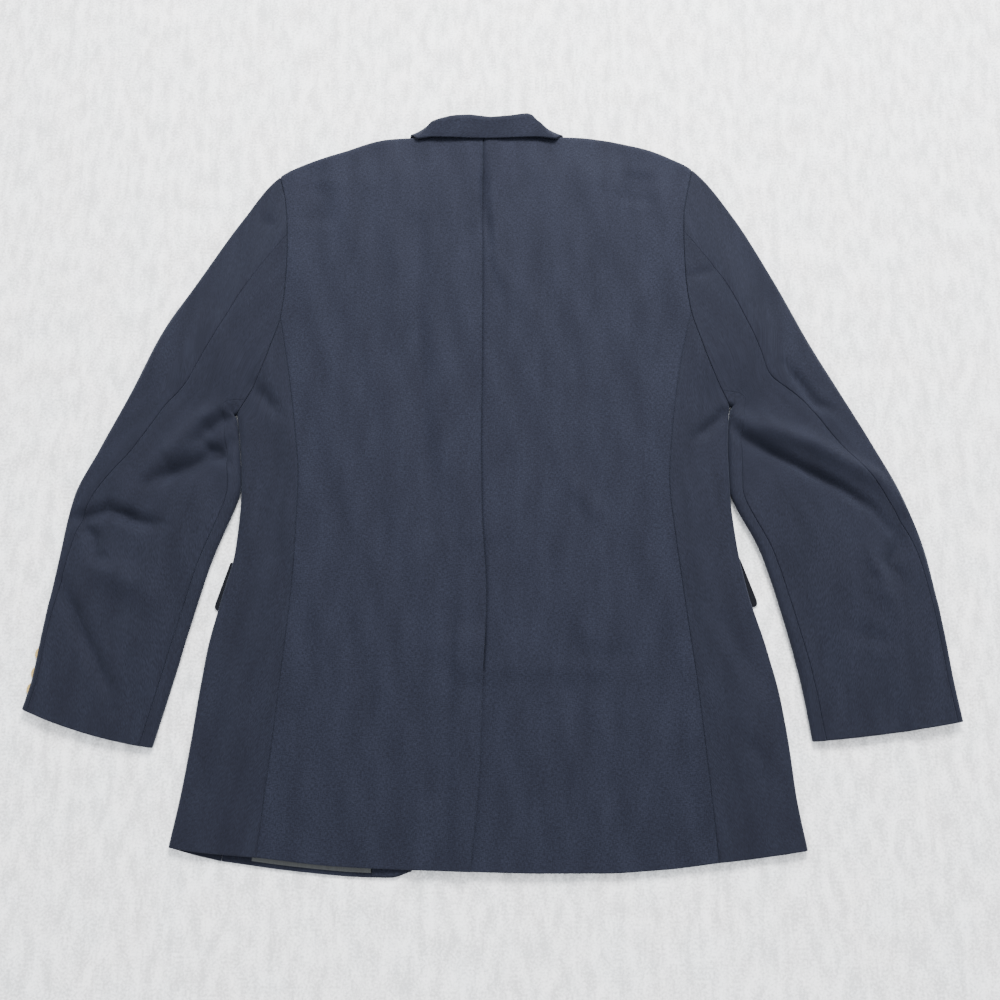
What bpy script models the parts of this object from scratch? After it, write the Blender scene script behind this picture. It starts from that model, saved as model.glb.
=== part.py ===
"""A man's single-vented blazer, laid face down on a flat surface with its back up.

Each panel is a wall of cloth: a grid of points on its outer face, the same grid moved in by the cloth's
thickness, and a rim round both. The plan of each panel comes from the outlines and seam lines tabled below.
Its heights come from how the cloth lies: an upper layer (back, side and sleeve), a lower layer on the ground
(fronts and the rest of the sleeve), and a round fold where one turns into the other.

Plan sizes are millimetres. x runs to the wearer's right from the centre back, and down runs from the back
neck to the hem. The wearer's left is the viewer's left, because the blazer is seen from behind.
"""

import math

import bmesh
import bpy
import numpy as np

MM = 0.001
OBJECT_NAME = "blazer"
SIDES = ("left", "right")
UP = (0, 0, 1)
DOWN = (0, 0, -1)

# The cloth and how its pieces are set together.
CLOTH = 2.0  # wool with its interlining
COLLAR_CLOTH = 2.0
FACING_CLOTH = 1.4
LINING_CLOTH = 1.0
SEAM_GAP = 0.3
LAYER_GAP = 0.4  # between a piece and the one that it lies on
LIFT = CLOTH + LAYER_GAP  # how far a layer of cloth raises what lies on it
COLLAR_LIFT = LIFT + 0.8
RIGHT_FRONT_AIR = 1.12  # the right front stands a little more above its raised lapel
OVERLAP_MARGIN = 100.0  # the right front is raised fully this far past the left one
OVERLAP_RUN = 80.0  # and slopes back down over this distance
OVERLAP_AIR = 0.8  # more air between the fronts, which bend over each other
AIR = 1.0  # least air between the upper and the lower layer
COVER_MARGIN = 38.0  # a layer is raised fully this far past what lies under it
COVER_RUN = 26.0  # and slopes back down over this distance
LOFT_RUN = 60.0  # the upper layer rises to its full loft this far from a fold
TURN = math.pi / 2
TURN_STEPS = 3  # rows of faces in a quarter turn of a fold
LEAST_FOLD = 6.8  # least height of a side fold, where what is under it lifts the cloth
HOLE_FADE = 0.25  # the armhole's bend fades out over this share of a sleeve or side panel

# How many steps each stretch round the armhole takes. The sleeve and the body share them.
BACK_HOLE_STEPS = 2
UNDER_SLEEVE_STEPS = 6
SEAM_STATION = 3  # the side-back seam meets the armhole at this step of the under sleeve
LOWER_STEPS = 8

# How many steps each piece takes down its length, and across its section.
SLEEVE_ROWS = 20
SIDE_ROWS = 16
VENT_TOP_SHARE = 11 / 16  # the vent's top, along the side-back seam's rows
LAPEL_ROWS = 11
LAPEL_STEPS = (1, 6, 4)  # upper leg, round turn and fall
COLLAR_ROWS = 2  # sections to a row of the collar's table
COLLAR_STEPS = (1, 6, 2)
STRIP_ROWS = 6
NECK_COLUMNS = (0.17, 0.34, 0.51, 0.75, 1.0)  # of a back, as shares of the way to the neck point
PANEL_COLUMNS = (0.0, 0.1, 0.25, 0.4, 0.55, 0.7, 0.85, 1.0)  # of a back or front, from there out
FRONT_OUTER = 0.998  # a front's last column stops just short of its seam
NUDGE = 0.0002  # a small step, as a share of a surface's range, for finding which way it faces

# The middle of the garment's outline, which is the origin of the finished part.
MIDDLE_X = 11.0
MIDDLE_DOWN = 381.8


def table(columns, rows):
    """A table with named columns, as one array for each name."""
    return dict(zip(columns.split(), np.array(rows, float).T))


# How the garment lies, level by level: the radius of its side folds, and the upper layer's height above them.
LAY = table(
    "down radius loft",
    [
        (-30, 6.4, 5.0),
        (120, 6.2, 6.0),
        (320, 5.6, 4.5),
        (500, 4.9, 2.6),
        (640, 4.3, 0.8),
        (800, 3.9, -0.3),
    ],
)

# The body below the armholes, level by level.
BODY = table(
    "down left_edge left_front_seam left_back_seam centre right_back_seam right_front_seam right_edge",
    [
        (200, -262, -214, -216, 0, 223, 222, 266),
        (252, -262, -224, -206, 0, 210, 228, 262),
        (300, -260, -226, -198, -1, 202, 230, 260),
        (345, -255, -220, -192, -1, 196, 224, 255),
        (400, -248, -212, -187, -1, 192, 220, 255),
        (460, -250, -212, -188, 3, 197, 222, 259),
        (520, -262, -220, -191, 5, 204, 230, 270),
        (580, -274, -228, -196, 2, 211, 242, 287),
        (640, -280, -234, -201, 0, 217, 252, 298),
        (700, -287, -240, -207, -2, 222, 256, 303),
        (780, -300, -248, -214, -10, 228, 262, 315),
    ],
)

# The armholes, by the share of the depth from shoulder point to underarm.
ARMHOLE = table(
    "share left_x right_x",
    [
        (0.00, -225, 232),
        (0.11, -217, 225),
        (0.22, -213, 219.5),
        (0.36, -211, 218),
        (0.50, -212, 219),
        (0.62, -215, 222.5),
        (0.72, -223, 230),
        (0.82, -232, 239),
        (0.92, -244, 250),
        (1.00, -257, 260),
    ],
)
ARMHOLE_DEPTH = {"left": (43, 321), "right": (34, 312)}

# The shoulder line from the neck point to the shoulder point, and the back neck seam up to it.
SHOULDER = {
    "left": [(-76, -6), (-105, -4), (-155, 11), (-193, 25), (-225, 43)],
    "right": [(84, -7), (106, -6), (131, -3), (181, 8), (209, 20), (232, 34)],
}
NECK_SEAM = {
    "left": [(0, -11.5), (-35, -11), (-60, -8.5), (-76, -6)],
    "right": [(0, -11.5), (40, -11.5), (68, -9.5), (84, -7)],
}
NECK_RUN = 24.0  # the neck seam climbs from the fold at the neck point over this distance

# The sleeves, section by section from the armhole to the cuff: both folded edges in plan, and how far the
# hindarm and the inseam seam lie in from them.
SLEEVE = {
    "left": table(
        "outer_x outer_down inner_x inner_down hindarm inseam",
        [
            (-225, 43, -257, 321, 77, 17),
            (-264, 97, -257.5, 320.8, 70, 17),
            (-309, 172, -258.6, 320.9, 68, 16),
            (-342, 228, -259.4, 321.6, 60, 16),
            (-370, 296, -259.9, 325, 46, 15),
            (-398, 359, -252.5, 370, 35, 14),
            (-420, 412, -249.6, 403, 20, 13),
            (-429, 478, -274, 481, 9, 13),
            (-438, 550, -293, 555, 6, 13),
            (-443, 595, -307, 612, 6, 13),
            (-450, 626, -320, 663, 6, 13),
        ],
    ),
    "right": table(
        "outer_x outer_down inner_x inner_down hindarm inseam",
        [
            (232, 34, 260, 312, 82, 17),
            (274, 91, 260.5, 311.8, 74, 17),
            (315, 169, 261.6, 311.9, 70, 16),
            (348, 240, 262.4, 312.6, 60, 16),
            (377, 296, 261.0, 318, 46, 15),
            (405, 350, 257.6, 362, 35, 14),
            (434, 412, 258.6, 404, 20, 13),
            (452, 474, 284, 470, 9, 13),
            (462, 548, 303, 540, 6, 13),
            (467, 600, 316, 600, 6, 13),
            (472, 638, 324, 657, 6, 13),
        ],
    ),
}
CUFF_BOW = {"left": 5.0, "right": 2.0}  # how far the cuff's middle hangs past a straight line

# The rows of the side panels fan out from the underarm: how far down the side fold and the front seam they
# start, by the share down the back seam.
FAN = table(
    "back_seam side_fold front_seam",
    [
        (0.00, 0.000, 0.000),
        (0.07, 0.005, 0.021),
        (0.14, 0.012, 0.045),
        (0.21, 0.026, 0.076),
        (0.30, 0.075, 0.138),
        (0.50, 0.339, 0.384),
        (1.00, 1.000, 1.000),
    ],
)

# The hem, from the side fold to the centre back, and the left and right fronts' own hems below or above it.
BACK_HEM = {
    "left": [(-9.5, 778), (-61, 776.5), (-138, 773), (-213, 765)],
    "right": [(-9.5, 778), (57, 779.5), (114, 779.5), (177, 776), (227, 770)],
}
SIDE_HEM = {
    "left": [(-213, 765), (-262, 761), (-298, 756)],
    "right": [(227, 770), (256, 767), (313, 759)],
}
SIDE_HEM_UNDER = {
    "left": [(-298, 756), (-272, 763), (-247, 768.5)],
    "right": [(313, 759), (286, 762), (261, 765)],
}
FRONT_HEM = {
    "left": [(-66, 778), (-85, 783.5), (-111, 783), (-173, 778), (-247, 768.5)],
    "right": [(72, 768), (92, 774), (120, 774.5), (177, 771), (261, 765)],
}

# The fronts: neckline, roll line and cutaway front edge, from the neck point to the hem's corner.
FRONT_EDGE = {
    "left": [
        (-76, -6), (-72, 6), (-65, 22), (-52, 58), (-40, 92), (-28, 170), (-13.5, 268), (3.5, 382),
        (11, 420), (17, 440), (18, 480), (18, 530), (12, 600), (-3, 665), (-25, 722), (-50, 764), (-66, 778),
    ],
    "right": [
        (84, -7), (80, 6), (73, 22), (60, 58), (48, 92), (35, 170), (18.5, 268), (-1.5, 382),
        (-10, 420), (-17, 440), (-18, 480), (-18, 530), (-12, 600), (5, 665), (30, 720), (56, 758), (72, 768),
    ],
}

# The turned-back lapels: the tip of the fold along the roll line, and the lapel's free edge.
ROLL_LINE = {
    "left": [(-35.0, 92.8), (-22.6, 170), (-8.0, 268), (8.8, 382), (14.4, 412)],
    "right": [(43.0, 92.8), (29.6, 170), (13.0, 268), (-6.8, 382), (-13.4, 412)],
}
LAPEL_EDGE = {
    "left": [(-112, 107), (-110, 150), (-92, 240), (-50, 340), (2, 410)],
    "right": [(120, 107), (118, 150), (100, 240), (58, 340), (0, 410)],
}
LAPEL_TURN = 2.2  # radius of the lapel's fold
LAPEL_GAP = 1.0  # between the front and the lapel's fold

# The collar, one row for each section from the centre back round the neck fold to the gorge: where the stand
# is sewn on, where it rolls over, and the fall's free edge, each as distance out, down and up.
COLLAR = table(
    "seam_out seam_down seam_up roll_out roll_down roll_up leaf_out leaf_down leaf_up turn",
    [
        (0, -12.2, 17.4, 0, -18.3, 33, 0, 2, 22.5, 4.5),
        (36, -12.2, 17.0, 35, -18.6, 32, 38, 0.5, 22, 4.5),
        (59, -11.4, 14.6, 54, -19.0, 26, 66, -1.0, 19, 4.3),
        (69.5, -10.8, 11.2, 65.0, -18.6, 19.2, 82.8, 0.0, 18.4, 4.0),
        (74.2, -10.8, 9.6, 65.8, -17.8, 12.2, 89.9, -8.3, 12.6, 3.8),
        (76.4, -9.6, 8.3, 66.3, -15.9, 7.5, 92.5, -11.7, 6.5, 3.5),
        (76.8, -7.8, 7.3, 65.2, -12.8, 4.4, 93.6, -8.8, 2.0, 3.3),
        (76.4, -5.6, 6.4, 64.4, -9.4, 3.1, 93.7, -4.8, 0.1, 3.0),
        (73, 9.0, 5.9, 62, 5.0, 3.0, 94, 6.0, 0, 2.9),
        (67, 24, 5.4, 56, 20, 2.7, 95, 30, 0, 2.7),
        (54, 58, 5.2, 46, 55, 2.6, 94, 66, 0, 2.6),
        (42.4, 91.6, 5.2, 36.4, 90.5, 2.6, 89, 100.0, 0, 2.6),
    ],
)
COLLAR_MIDDLE = 4.0

# Pocket flaps, by their corners: inner top, outer top, outer bottom, inner bottom.
FLAP = {
    "left": [(-116, 462), (-256, 478), (-271, 528), (-124, 521)],
    "right": [(124, 460), (264, 474), (281, 524), (132, 518)],
}
FLAP_ROUNDING = 9.0

# The vent: the right panel's underlap runs on past the centre under the left panel.
VENT_TOP = 565.0
VENT_UNDERLAP = 40.0
VENT_LIFT = LIFT + 1.0
VENT_DIP = 14.0  # the right panel dips under the left over this width
VENT_RUN = 30.0  # and over this length at the vent's top

# The left front's facing and lining, as strips along its hem: where they end across and up.
FACING = {
    "outer_x": -103.0,
    "inner_x": -70.0,
    "height": 40.0,
    "margin": 1.0,
    "cloth": FACING_CLOTH,
    "finish": "wool",
}
LINING = {
    "outer_x": -218.0,
    "inner_x": -103.4,
    "height": 24.0,
    "margin": 4.2,
    "cloth": LINING_CLOTH,
    "finish": "lining",
}

BUTTONS = table(
    "x down radius thickness",
    [(1.5, 436, 10, 2.6), (1.5, 536, 10, 2.6)],
)
CUFF_BUTTON_RADIUS = 7.2
CUFF_BUTTON_THICKNESS = 3.2
CUFF_BUTTON_SHARES = (0.840, 0.885, 0.930)  # along the sleeve
CUFF_BUTTON_IN = 4.6  # its centre, in from the sleeve's outer edge
BUTTON_SIDES = 12

# The largest folds of the upper layer: a soft ridge, or a trough where the height is negative.
CREASES = table(
    "x down to_x to_down height width",
    [
        # right sleeve: the overhanging fold from the underarm and the trough below it
        (272, 333, 345, 360, 5.0, 17),
        (345, 360, 424, 420, 5.0, 17),
        (275, 362, 340, 391, -3.6, 14),
        (340, 391, 412, 442, -3.6, 14),
        (392, 470, 436, 520, -2.6, 15),
        (300, 190, 352, 300, 2.5, 36),
        (365, 460, 395, 590, 2.5, 34),
        # left sleeve: the pit at the underarm, elbow dents and the long forearm trough
        (-295, 346, -276, 334, -2.5, 18),
        (-343, 400, -266, 366, -3.0, 15),
        (-388, 462, -338, 508, 3.0, 19),
        (-418, 434, -386, 462, -2.6, 15),
        (-408, 525, -366, 590, -2.4, 16),
        (-292, 190, -340, 300, 2.5, 36),
        (-340, 520, -372, 600, 2.0, 28),
        # back: shoulder hollows and the long soft fold beside the centre seam
        (-178, 47, -183, 112, -3.0, 22),
        (175, 38, 170, 88, -3.0, 22),
        (-70, 116, -60, 380, -2.0, 22),
    ],
)
CREASE_CLEAR = 16.0  # a crease fades out this near a folded edge

# Colour (linear), roughness and metallic value of each finish.
FINISHES = {
    "wool": ((0.030, 0.037, 0.066, 1.0), 0.86, 0.0),
    "lining": ((0.080, 0.086, 0.090, 1.0), 0.34, 0.0),
    "brass": ((0.62, 0.44, 0.17, 1.0), 0.30, 1.0),
}


# ---- lines and plan areas


def slopes_at(knots, values):
    """A slope at each knot that lets a curve pass without a corner and without swinging past its values."""
    steps = np.diff(knots).reshape((-1,) + (1,) * (values.ndim - 1))
    rates = np.diff(values, axis=0) / steps
    same = rates[:-1] * rates[1:] > 0
    total = np.where(same, rates[:-1] + rates[1:], 1.0)
    inner = np.where(same, 2 * rates[:-1] * rates[1:] / total, 0.0)
    return np.concatenate([rates[:1], inner, rates[-1:]])


def hermite(at, knots, values, slopes):
    """A smooth curve through the values at the knots, read at any place and straight beyond its ends."""
    at = np.asarray(at, float)
    past = at - np.clip(at, knots[0], knots[-1])
    end = np.where(past < 0, 0, len(knots) - 1)
    at = at - past
    i = np.clip(np.searchsorted(knots, at, side="right") - 1, 0, len(knots) - 2)
    step = knots[i + 1] - knots[i]
    t = (at - knots[i]) / step
    if values.ndim > 1:
        t, step, past = t[..., None], step[..., None], past[..., None]
    return (
        past * slopes[end]
        + (2 * t**3 - 3 * t**2 + 1) * values[i]
        + (t**3 - 2 * t**2 + t) * step * slopes[i]
        + (3 * t**2 - 2 * t**3) * values[i + 1]
        + (t**3 - t**2) * step * slopes[i + 1]
    )


def read(columns, name, at, by="down"):
    """A column of a table at any level."""
    return hermite(at, columns[by], columns[name], slopes_at(columns[by], columns[name]))


def ramp(value):
    """Runs smoothly from 0 to 1."""
    value = np.clip(value, 0.0, 1.0)
    return value * value * (3 - 2 * value)


class Line:
    """A smooth line through plan points, read by the share of the way along it."""

    def __init__(self, points, even=False):
        self.points = np.array(points, float)
        steps = np.linalg.norm(np.diff(self.points, axis=0), axis=1)
        self.length = float(steps.sum())
        by_length = np.concatenate([[0.0], np.cumsum(steps)]) / self.length
        self.knots = np.linspace(0, 1, len(points)) if even else by_length
        self.slopes = slopes_at(self.knots, self.points)

    def __call__(self, share):
        return hermite(share, self.knots, self.points, self.slopes)

    def sampled(self, count=24):
        return self(np.linspace(0, 1, count))


def stretch(line, start, end):
    """A stretch of a line, read by the share of that stretch."""
    return lambda share: line(start + (end - start) * np.asarray(share, float))


def joined(first, second, at):
    """Two lines read as one: the first up to the share at, and the second from there."""

    def line(share):
        share = np.asarray(share, float)
        low = first(np.minimum(share, at) / at)
        high = second((np.maximum(share, at) - at) / (1 - at))
        return np.where((share < at)[..., None], low, high)

    return line


def patch(inner, outer, top, bottom):
    """A four-sided plan area between four lines, read by its shares across and down."""

    def point(across, down):
        s, t = np.broadcast_arrays(np.asarray(across, float), np.asarray(down, float))
        s, t = s[..., None], t[..., None]
        corners = (1 - s) * (1 - t) * top(0.0) + s * (1 - t) * top(1.0)
        corners = corners + (1 - s) * t * bottom(0.0) + s * t * bottom(1.0)
        sides = (1 - s) * inner(t[..., 0]) + s * outer(t[..., 0])
        return sides + (1 - t) * top(s[..., 0]) + t * bottom(s[..., 0]) - corners

    return point


def distance_to(plan, chain):
    """Distance from each plan point to a chain of points."""
    nearest = np.full(plan.shape[:-1], np.inf)
    for start, end in zip(chain[:-1], chain[1:]):
        run = end - start
        t = np.clip(((plan - start) @ run) / max(run @ run, 1e-9), 0, 1)
        gap = plan - start - t[..., None] * run
        nearest = np.minimum(nearest, np.sqrt((gap**2).sum(-1)))
    return nearest


def outside(plan, outline):
    """Distance from each plan point to an area, 0 inside it."""
    closed = np.vstack([outline, outline[:1]])
    within = np.zeros(plan.shape[:-1], bool)
    for (x0, y0), (x1, y1) in zip(closed[:-1], closed[1:]):
        rise = y1 - y0 if abs(y1 - y0) > 1e-9 else 1e-9
        crosses = (y0 > plan[..., 1]) != (y1 > plan[..., 1])
        within ^= crosses & (plan[..., 0] < (x1 - x0) * (plan[..., 1] - y0) / rise + x0)
    return np.where(within, 0.0, distance_to(plan, closed))


# ---- the garment's own lines


def radius_at(down):
    return read(LAY, "radius", down)


def armhole_line(side):
    top, bottom = ARMHOLE_DEPTH[side]
    downs = top + (bottom - top) * ARMHOLE["share"]
    return Line(np.column_stack([ARMHOLE[side + "_x"], downs]))


def sleeve_edge(side, edge):
    rows = SLEEVE[side]
    return Line(np.column_stack([rows[edge + "_x"], rows[edge + "_down"]]), even=True)


def body_line(column, start, end, count=10):
    """A line of the body between two points, following a column of the body's table."""
    downs = np.linspace(start[1], end[1], count)
    xs = read(BODY, column, downs)
    return Line(np.column_stack([xs + np.linspace(start[0] - xs[0], end[0] - xs[-1], count), downs]))


def turn_over(arc, radius):
    """A place on a round fold: how far in from its edge, and 0 at the edge to 1 on the flat."""
    angle = np.clip(arc / radius, -TURN, TURN)
    past = np.maximum(np.abs(arc) - radius * TURN, 0.0)
    return radius * (1 - np.cos(angle)) + past, np.sin(angle)


def flat_to_arc(inward, radius):
    """The arc from a fold's edge to a place on the flat."""
    return inward + radius * (TURN - 1)


HOLES = {side: armhole_line(side) for side in SIDES}
OUTER_FOLDS = {side: sleeve_edge(side, "outer") for side in SIDES}
INNER_FOLDS = {side: sleeve_edge(side, "inner") for side in SIDES}
SHOULDER_RADIUS = {side: float(radius_at(ARMHOLE_DEPTH[side][0])) for side in SIDES}
UNDERARM_RADIUS = {side: float(radius_at(ARMHOLE_DEPTH[side][1])) for side in SIDES}


def quarter(radius):
    return [radius * TURN * i / TURN_STEPS for i in range(TURN_STEPS + 1)]


def even_steps(start, end, count):
    """Even steps from start to end, without the start."""
    return [start + (end - start) * i / count for i in range(1, count + 1)]


def hole_stations(side):
    """The places round an armhole that all its pieces share: arcs over the upper and the lower layer."""
    out, under = SHOULDER_RADIUS[side], UNDERARM_RADIUS[side]
    full = HOLES[side].length + (out + under) * (TURN - 1)
    hindarm = flat_to_arc(SLEEVE[side]["hindarm"][0], out)
    inseam = full - flat_to_arc(SLEEVE[side]["inseam"][0], under)
    back = quarter(out) + even_steps(out * TURN, hindarm, BACK_HOLE_STEPS)
    under_sleeve = [hindarm] + even_steps(hindarm, inseam, UNDER_SLEEVE_STEPS)
    last = [inseam] + [full - arc for arc in quarter(under)[::-1]]
    lower = [full - arc for arc in quarter(under)]
    lower += even_steps(full - under * TURN, out * TURN, LOWER_STEPS) + quarter(out)[-2::-1]
    return {"full": full, "back": back, "under": under_sleeve, "last": last, "lower": lower}


STATIONS = {side: hole_stations(side) for side in SIDES}


def hole_share(side, arc):
    """The share along the armhole of an arc from its shoulder fold."""
    full, length = STATIONS[side]["full"], HOLES[side].length
    near, far = turn_over(arc, SHOULDER_RADIUS[side])[0], turn_over(full - arc, UNDERARM_RADIUS[side])[0]
    return np.where(np.asarray(arc) < full / 2, near / length, 1 - far / length)


BACK_SHARE = {s: float(hole_share(s, STATIONS[s]["under"][SEAM_STATION])) for s in SIDES}
FRONT_SHARE = {s: float(hole_share(s, STATIONS[s]["lower"][TURN_STEPS + 1])) for s in SIDES}
BACK_SEAMS = {
    s: body_line(s + "_back_seam", HOLES[s](BACK_SHARE[s]), BACK_HEM[s][-1]) for s in SIDES
}
FRONT_SEAMS = {
    s: body_line(s + "_front_seam", HOLES[s](FRONT_SHARE[s]), FRONT_HEM[s][-1]) for s in SIDES
}
BODY_EDGES = {s: body_line(s + "_edge", HOLES[s](1.0), SIDE_HEM[s][-1]) for s in SIDES}
CENTRE = body_line("centre", NECK_SEAM["left"][0], BACK_HEM["left"][0])
TOPS = {s: Line(NECK_SEAM[s] + SHOULDER[s][1:]) for s in SIDES}
SHOULDERS = {s: Line(SHOULDER[s]) for s in SIDES}
for one, other in ((TOPS[s], OUTER_FOLDS[s]) for s in SIDES):
    aim = one.slopes[-1] / np.linalg.norm(one.slopes[-1]) + other.slopes[0] / np.linalg.norm(other.slopes[0])
    aim /= np.linalg.norm(aim)
    one.slopes[-1] = aim * np.linalg.norm(one.slopes[-1])
    other.slopes[0] = aim * np.linalg.norm(other.slopes[0])
NECK_POINT_SHARE = {s: float(TOPS[s].knots[len(NECK_SEAM[s]) - 1]) for s in SIDES}
ROLLS = {s: Line(ROLL_LINE[s]) for s in SIDES}
LAPEL_EDGES = {s: Line(LAPEL_EDGE[s]) for s in SIDES}
FRONT_EDGES = {s: Line(FRONT_EDGE[s]) for s in SIDES}
FOLDS = [line[s].sampled(40) for s in SIDES for line in (SHOULDERS, OUTER_FOLDS, INNER_FOLDS, BODY_EDGES)]


def lapel_area(side):
    return np.vstack([ROLLS[side].sampled(), LAPEL_EDGES[side].sampled()[::-1]])


def collar_area(side):
    """The collar's fall where it lies under the front."""
    sign = -1 if side == "left" else 1
    roll = np.column_stack([COLLAR_MIDDLE + sign * COLLAR["roll_out"], COLLAR["roll_down"]])[6:]
    leaf = np.column_stack([COLLAR_MIDDLE + sign * COLLAR["leaf_out"], COLLAR["leaf_down"]])[6:]
    return np.vstack([roll, leaf[::-1]])


def front_area(side):
    return np.vstack(
        [
            FRONT_EDGES[side].sampled(60),
            Line(FRONT_HEM[side]).sampled(),
            FRONT_SEAMS[side].sampled()[::-1],
            HOLES[side].sampled()[::-1],
            SHOULDERS[side].sampled()[::-1],
        ]
    )


COVERS = {
    s: [(lapel_area(s), LIFT), (collar_area(s), COLLAR_LIFT), (np.array(FLAP[s], float), LIFT)]
    for s in SIDES
}
LEFT_FRONT = front_area("left")


def cuff_button_places(side):
    """The plan centres of one sleeve's buttons, along its outer edge."""
    shares = np.array(CUFF_BUTTON_SHARES)
    outer = OUTER_FOLDS[side](shares)
    inward = INNER_FOLDS[side](shares) - outer
    return outer + inward / np.linalg.norm(inward, axis=1)[:, None] * CUFF_BUTTON_IN


CUFF_BUTTONS = {s: cuff_button_places(s) for s in SIDES}


# ---- how high the cloth lies


def under_cover(plan, side):
    """How far the lower layer is raised by what lies under it: lapel, collar, flap and buttons."""
    raised = np.zeros(plan.shape[:-1])
    for area, lift in COVERS[side]:
        raised = np.maximum(raised, lift * ramp(1 - (outside(plan, area) - COVER_MARGIN) / COVER_RUN))
    discs = [(p, CUFF_BUTTON_RADIUS, CUFF_BUTTON_THICKNESS) for p in CUFF_BUTTONS[side]]
    if side == "left":
        discs += [((x, down), radius, thick) for x, down, radius, thick in zip(*BUTTONS.values())]
    for place_at, radius, thickness in discs:
        gap = np.linalg.norm(plan - place_at, axis=-1) - radius - COVER_MARGIN
        raised = np.maximum(raised, (thickness + LAYER_GAP) * ramp(1 - gap / COVER_RUN))
    return raised


def over_left(plan):
    """How far the right front and its lapel are raised where they lie over the left front."""
    gap = np.minimum(outside(plan, LEFT_FRONT), outside(plan, COVERS["left"][0][0])) - OVERLAP_MARGIN
    below_neck = ramp((plan[..., 1] - 90) / 200)
    left = np.stack([np.minimum(plan[..., 0], 0.0), plan[..., 1]], axis=-1)
    return below_neck * ramp(1 - gap / OVERLAP_RUN) * (under_cover(left, "left") + LIFT + OVERLAP_AIR)


def lower_height(plan, side):
    """The outer face of the lower layer above the ground."""
    raised = under_cover(plan, side)
    return raised + over_left(plan) * RIGHT_FRONT_AIR if side == "right" else raised


def stack(plan):
    """The top of the lower layer, which the upper layer must clear."""
    in_left = ramp(1 - outside(plan, LEFT_FRONT) / COVER_RUN)
    edging = (FACING_CLOTH + LAYER_GAP) * ramp((plan[..., 1] - 705) / 20) * ramp((-30 - plan[..., 0]) / 20)
    left = in_left * (under_cover(plan, "left") + CLOTH + edging)
    right = (lower_height(plan, "right") + CLOTH) * ramp((plan[..., 0] + 40) / 20)
    return np.maximum(left, right)


def in_vent(plan):
    """1 where the vent's underlap lies under the left panel, and 0 well away from it."""
    centre = read(BODY, "centre", plan[..., 1])
    across = ramp((plan[..., 0] - centre + VENT_UNDERLAP + 2 * VENT_DIP) / VENT_DIP)
    across = across * ramp((centre + VENT_DIP - plan[..., 0]) / VENT_DIP * 1.6)
    return across * ramp((plan[..., 1] - VENT_TOP + VENT_RUN) / VENT_RUN)


def creases(plan):
    """The sum of the largest folds."""
    total = np.zeros(plan.shape[:-1])
    for x, down, to_x, to_down, height, width in zip(*CREASES.values()):
        gap = distance_to(plan, np.array([(x, down), (to_x, to_down)]))
        total += height * np.exp(-((gap / width) ** 2))
    return total


def upper_height(plan):
    """How much the upper layer stands above the round of its folds."""
    gap = np.min([distance_to(plan, fold) for fold in FOLDS], axis=0)
    return read(LAY, "loft", plan[..., 1]) * ramp(gap / LOFT_RUN) + creases(plan) * ramp(gap / CREASE_CLEAR)


def layer(plan, factor, side):
    """The height of a place: factor is 1 on the upper layer, -1 on the lower one and 0 at a fold's edge."""
    bottom = lower_height(plan, side)
    off_centre = ramp((np.abs(plan[..., 0]) - 90) / 60)
    top = np.maximum(2 * radius_at(plan[..., 1]), under_cover(plan, side) * off_centre + LEAST_FOLD)
    height = (top + bottom) / 2 + (top - bottom) / 2 * factor
    upper = np.maximum(factor, 0.0)
    least = stack(plan) + CLOTH + AIR + VENT_LIFT * in_vent(plan) - 12 * (1 - upper)
    return np.where(factor > 0, np.maximum(height + upper_height(plan) * upper, least), height)


def to_world(plan, height):
    return np.stack([plan[..., 0] - MIDDLE_X, MIDDLE_DOWN - plan[..., 1], height], axis=-1)


# ---- surfaces of the pieces, each read by a row and a column


def sleeve_surface(side):
    """The sleeve's tube: rows by the share from armhole to cuff, columns by the arc round it.

    The arc starts at the outer fold, runs over the upper layer to the inner fold at full, and back over the
    lower layer to the outer fold at twice full.
    """
    outer, inner, hole = OUTER_FOLDS[side], INNER_FOLDS[side], HOLES[side]
    outward = -1 if side == "left" else 1
    chord = hole(1.0) - hole(0.0)
    extra = hole.length - np.linalg.norm(chord)

    def measures(share):
        start, end = outer(share), inner(share)
        fade = ramp(1 - share / HOLE_FADE)
        width = np.linalg.norm(end - start, axis=-1) + extra * fade
        radius_out, radius_in = radius_at(start[..., 1]), radius_at(end[..., 1])
        return start, end, fade, width, radius_out, radius_in

    def full(share):
        _, _, _, width, radius_out, radius_in = measures(share)
        return width + (radius_out + radius_in) * (TURN - 1)

    def surface(share, arc):
        start, end, fade, width, radius_out, radius_in = measures(share)
        length = width + (radius_out + radius_in) * (TURN - 1)
        arc = np.where(arc > 2 * length - length / 2, arc - 2 * length, arc)
        near_in, near_level = turn_over(arc, radius_out)
        far_in, far_level = turn_over(length - arc, radius_in)
        near = arc < length / 2
        across = np.where(near, near_in / width, 1 - far_in / width)
        level = np.where(near, near_level, far_level)
        s = across[..., None]
        bend = hole(across) - (1 - s) * hole(0.0) - s * hole(1.0)
        plan = (1 - s) * start + s * end + bend * fade[..., None]
        bow = 4 * across * (1 - across) * CUFF_BOW[side] * ramp(share * 3 - 2)
        plan = plan + np.stack([0 * bow + outward * SEAM_GAP, bow], axis=-1)
        return to_world(plan, layer(plan, level, side))

    return surface, full


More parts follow.
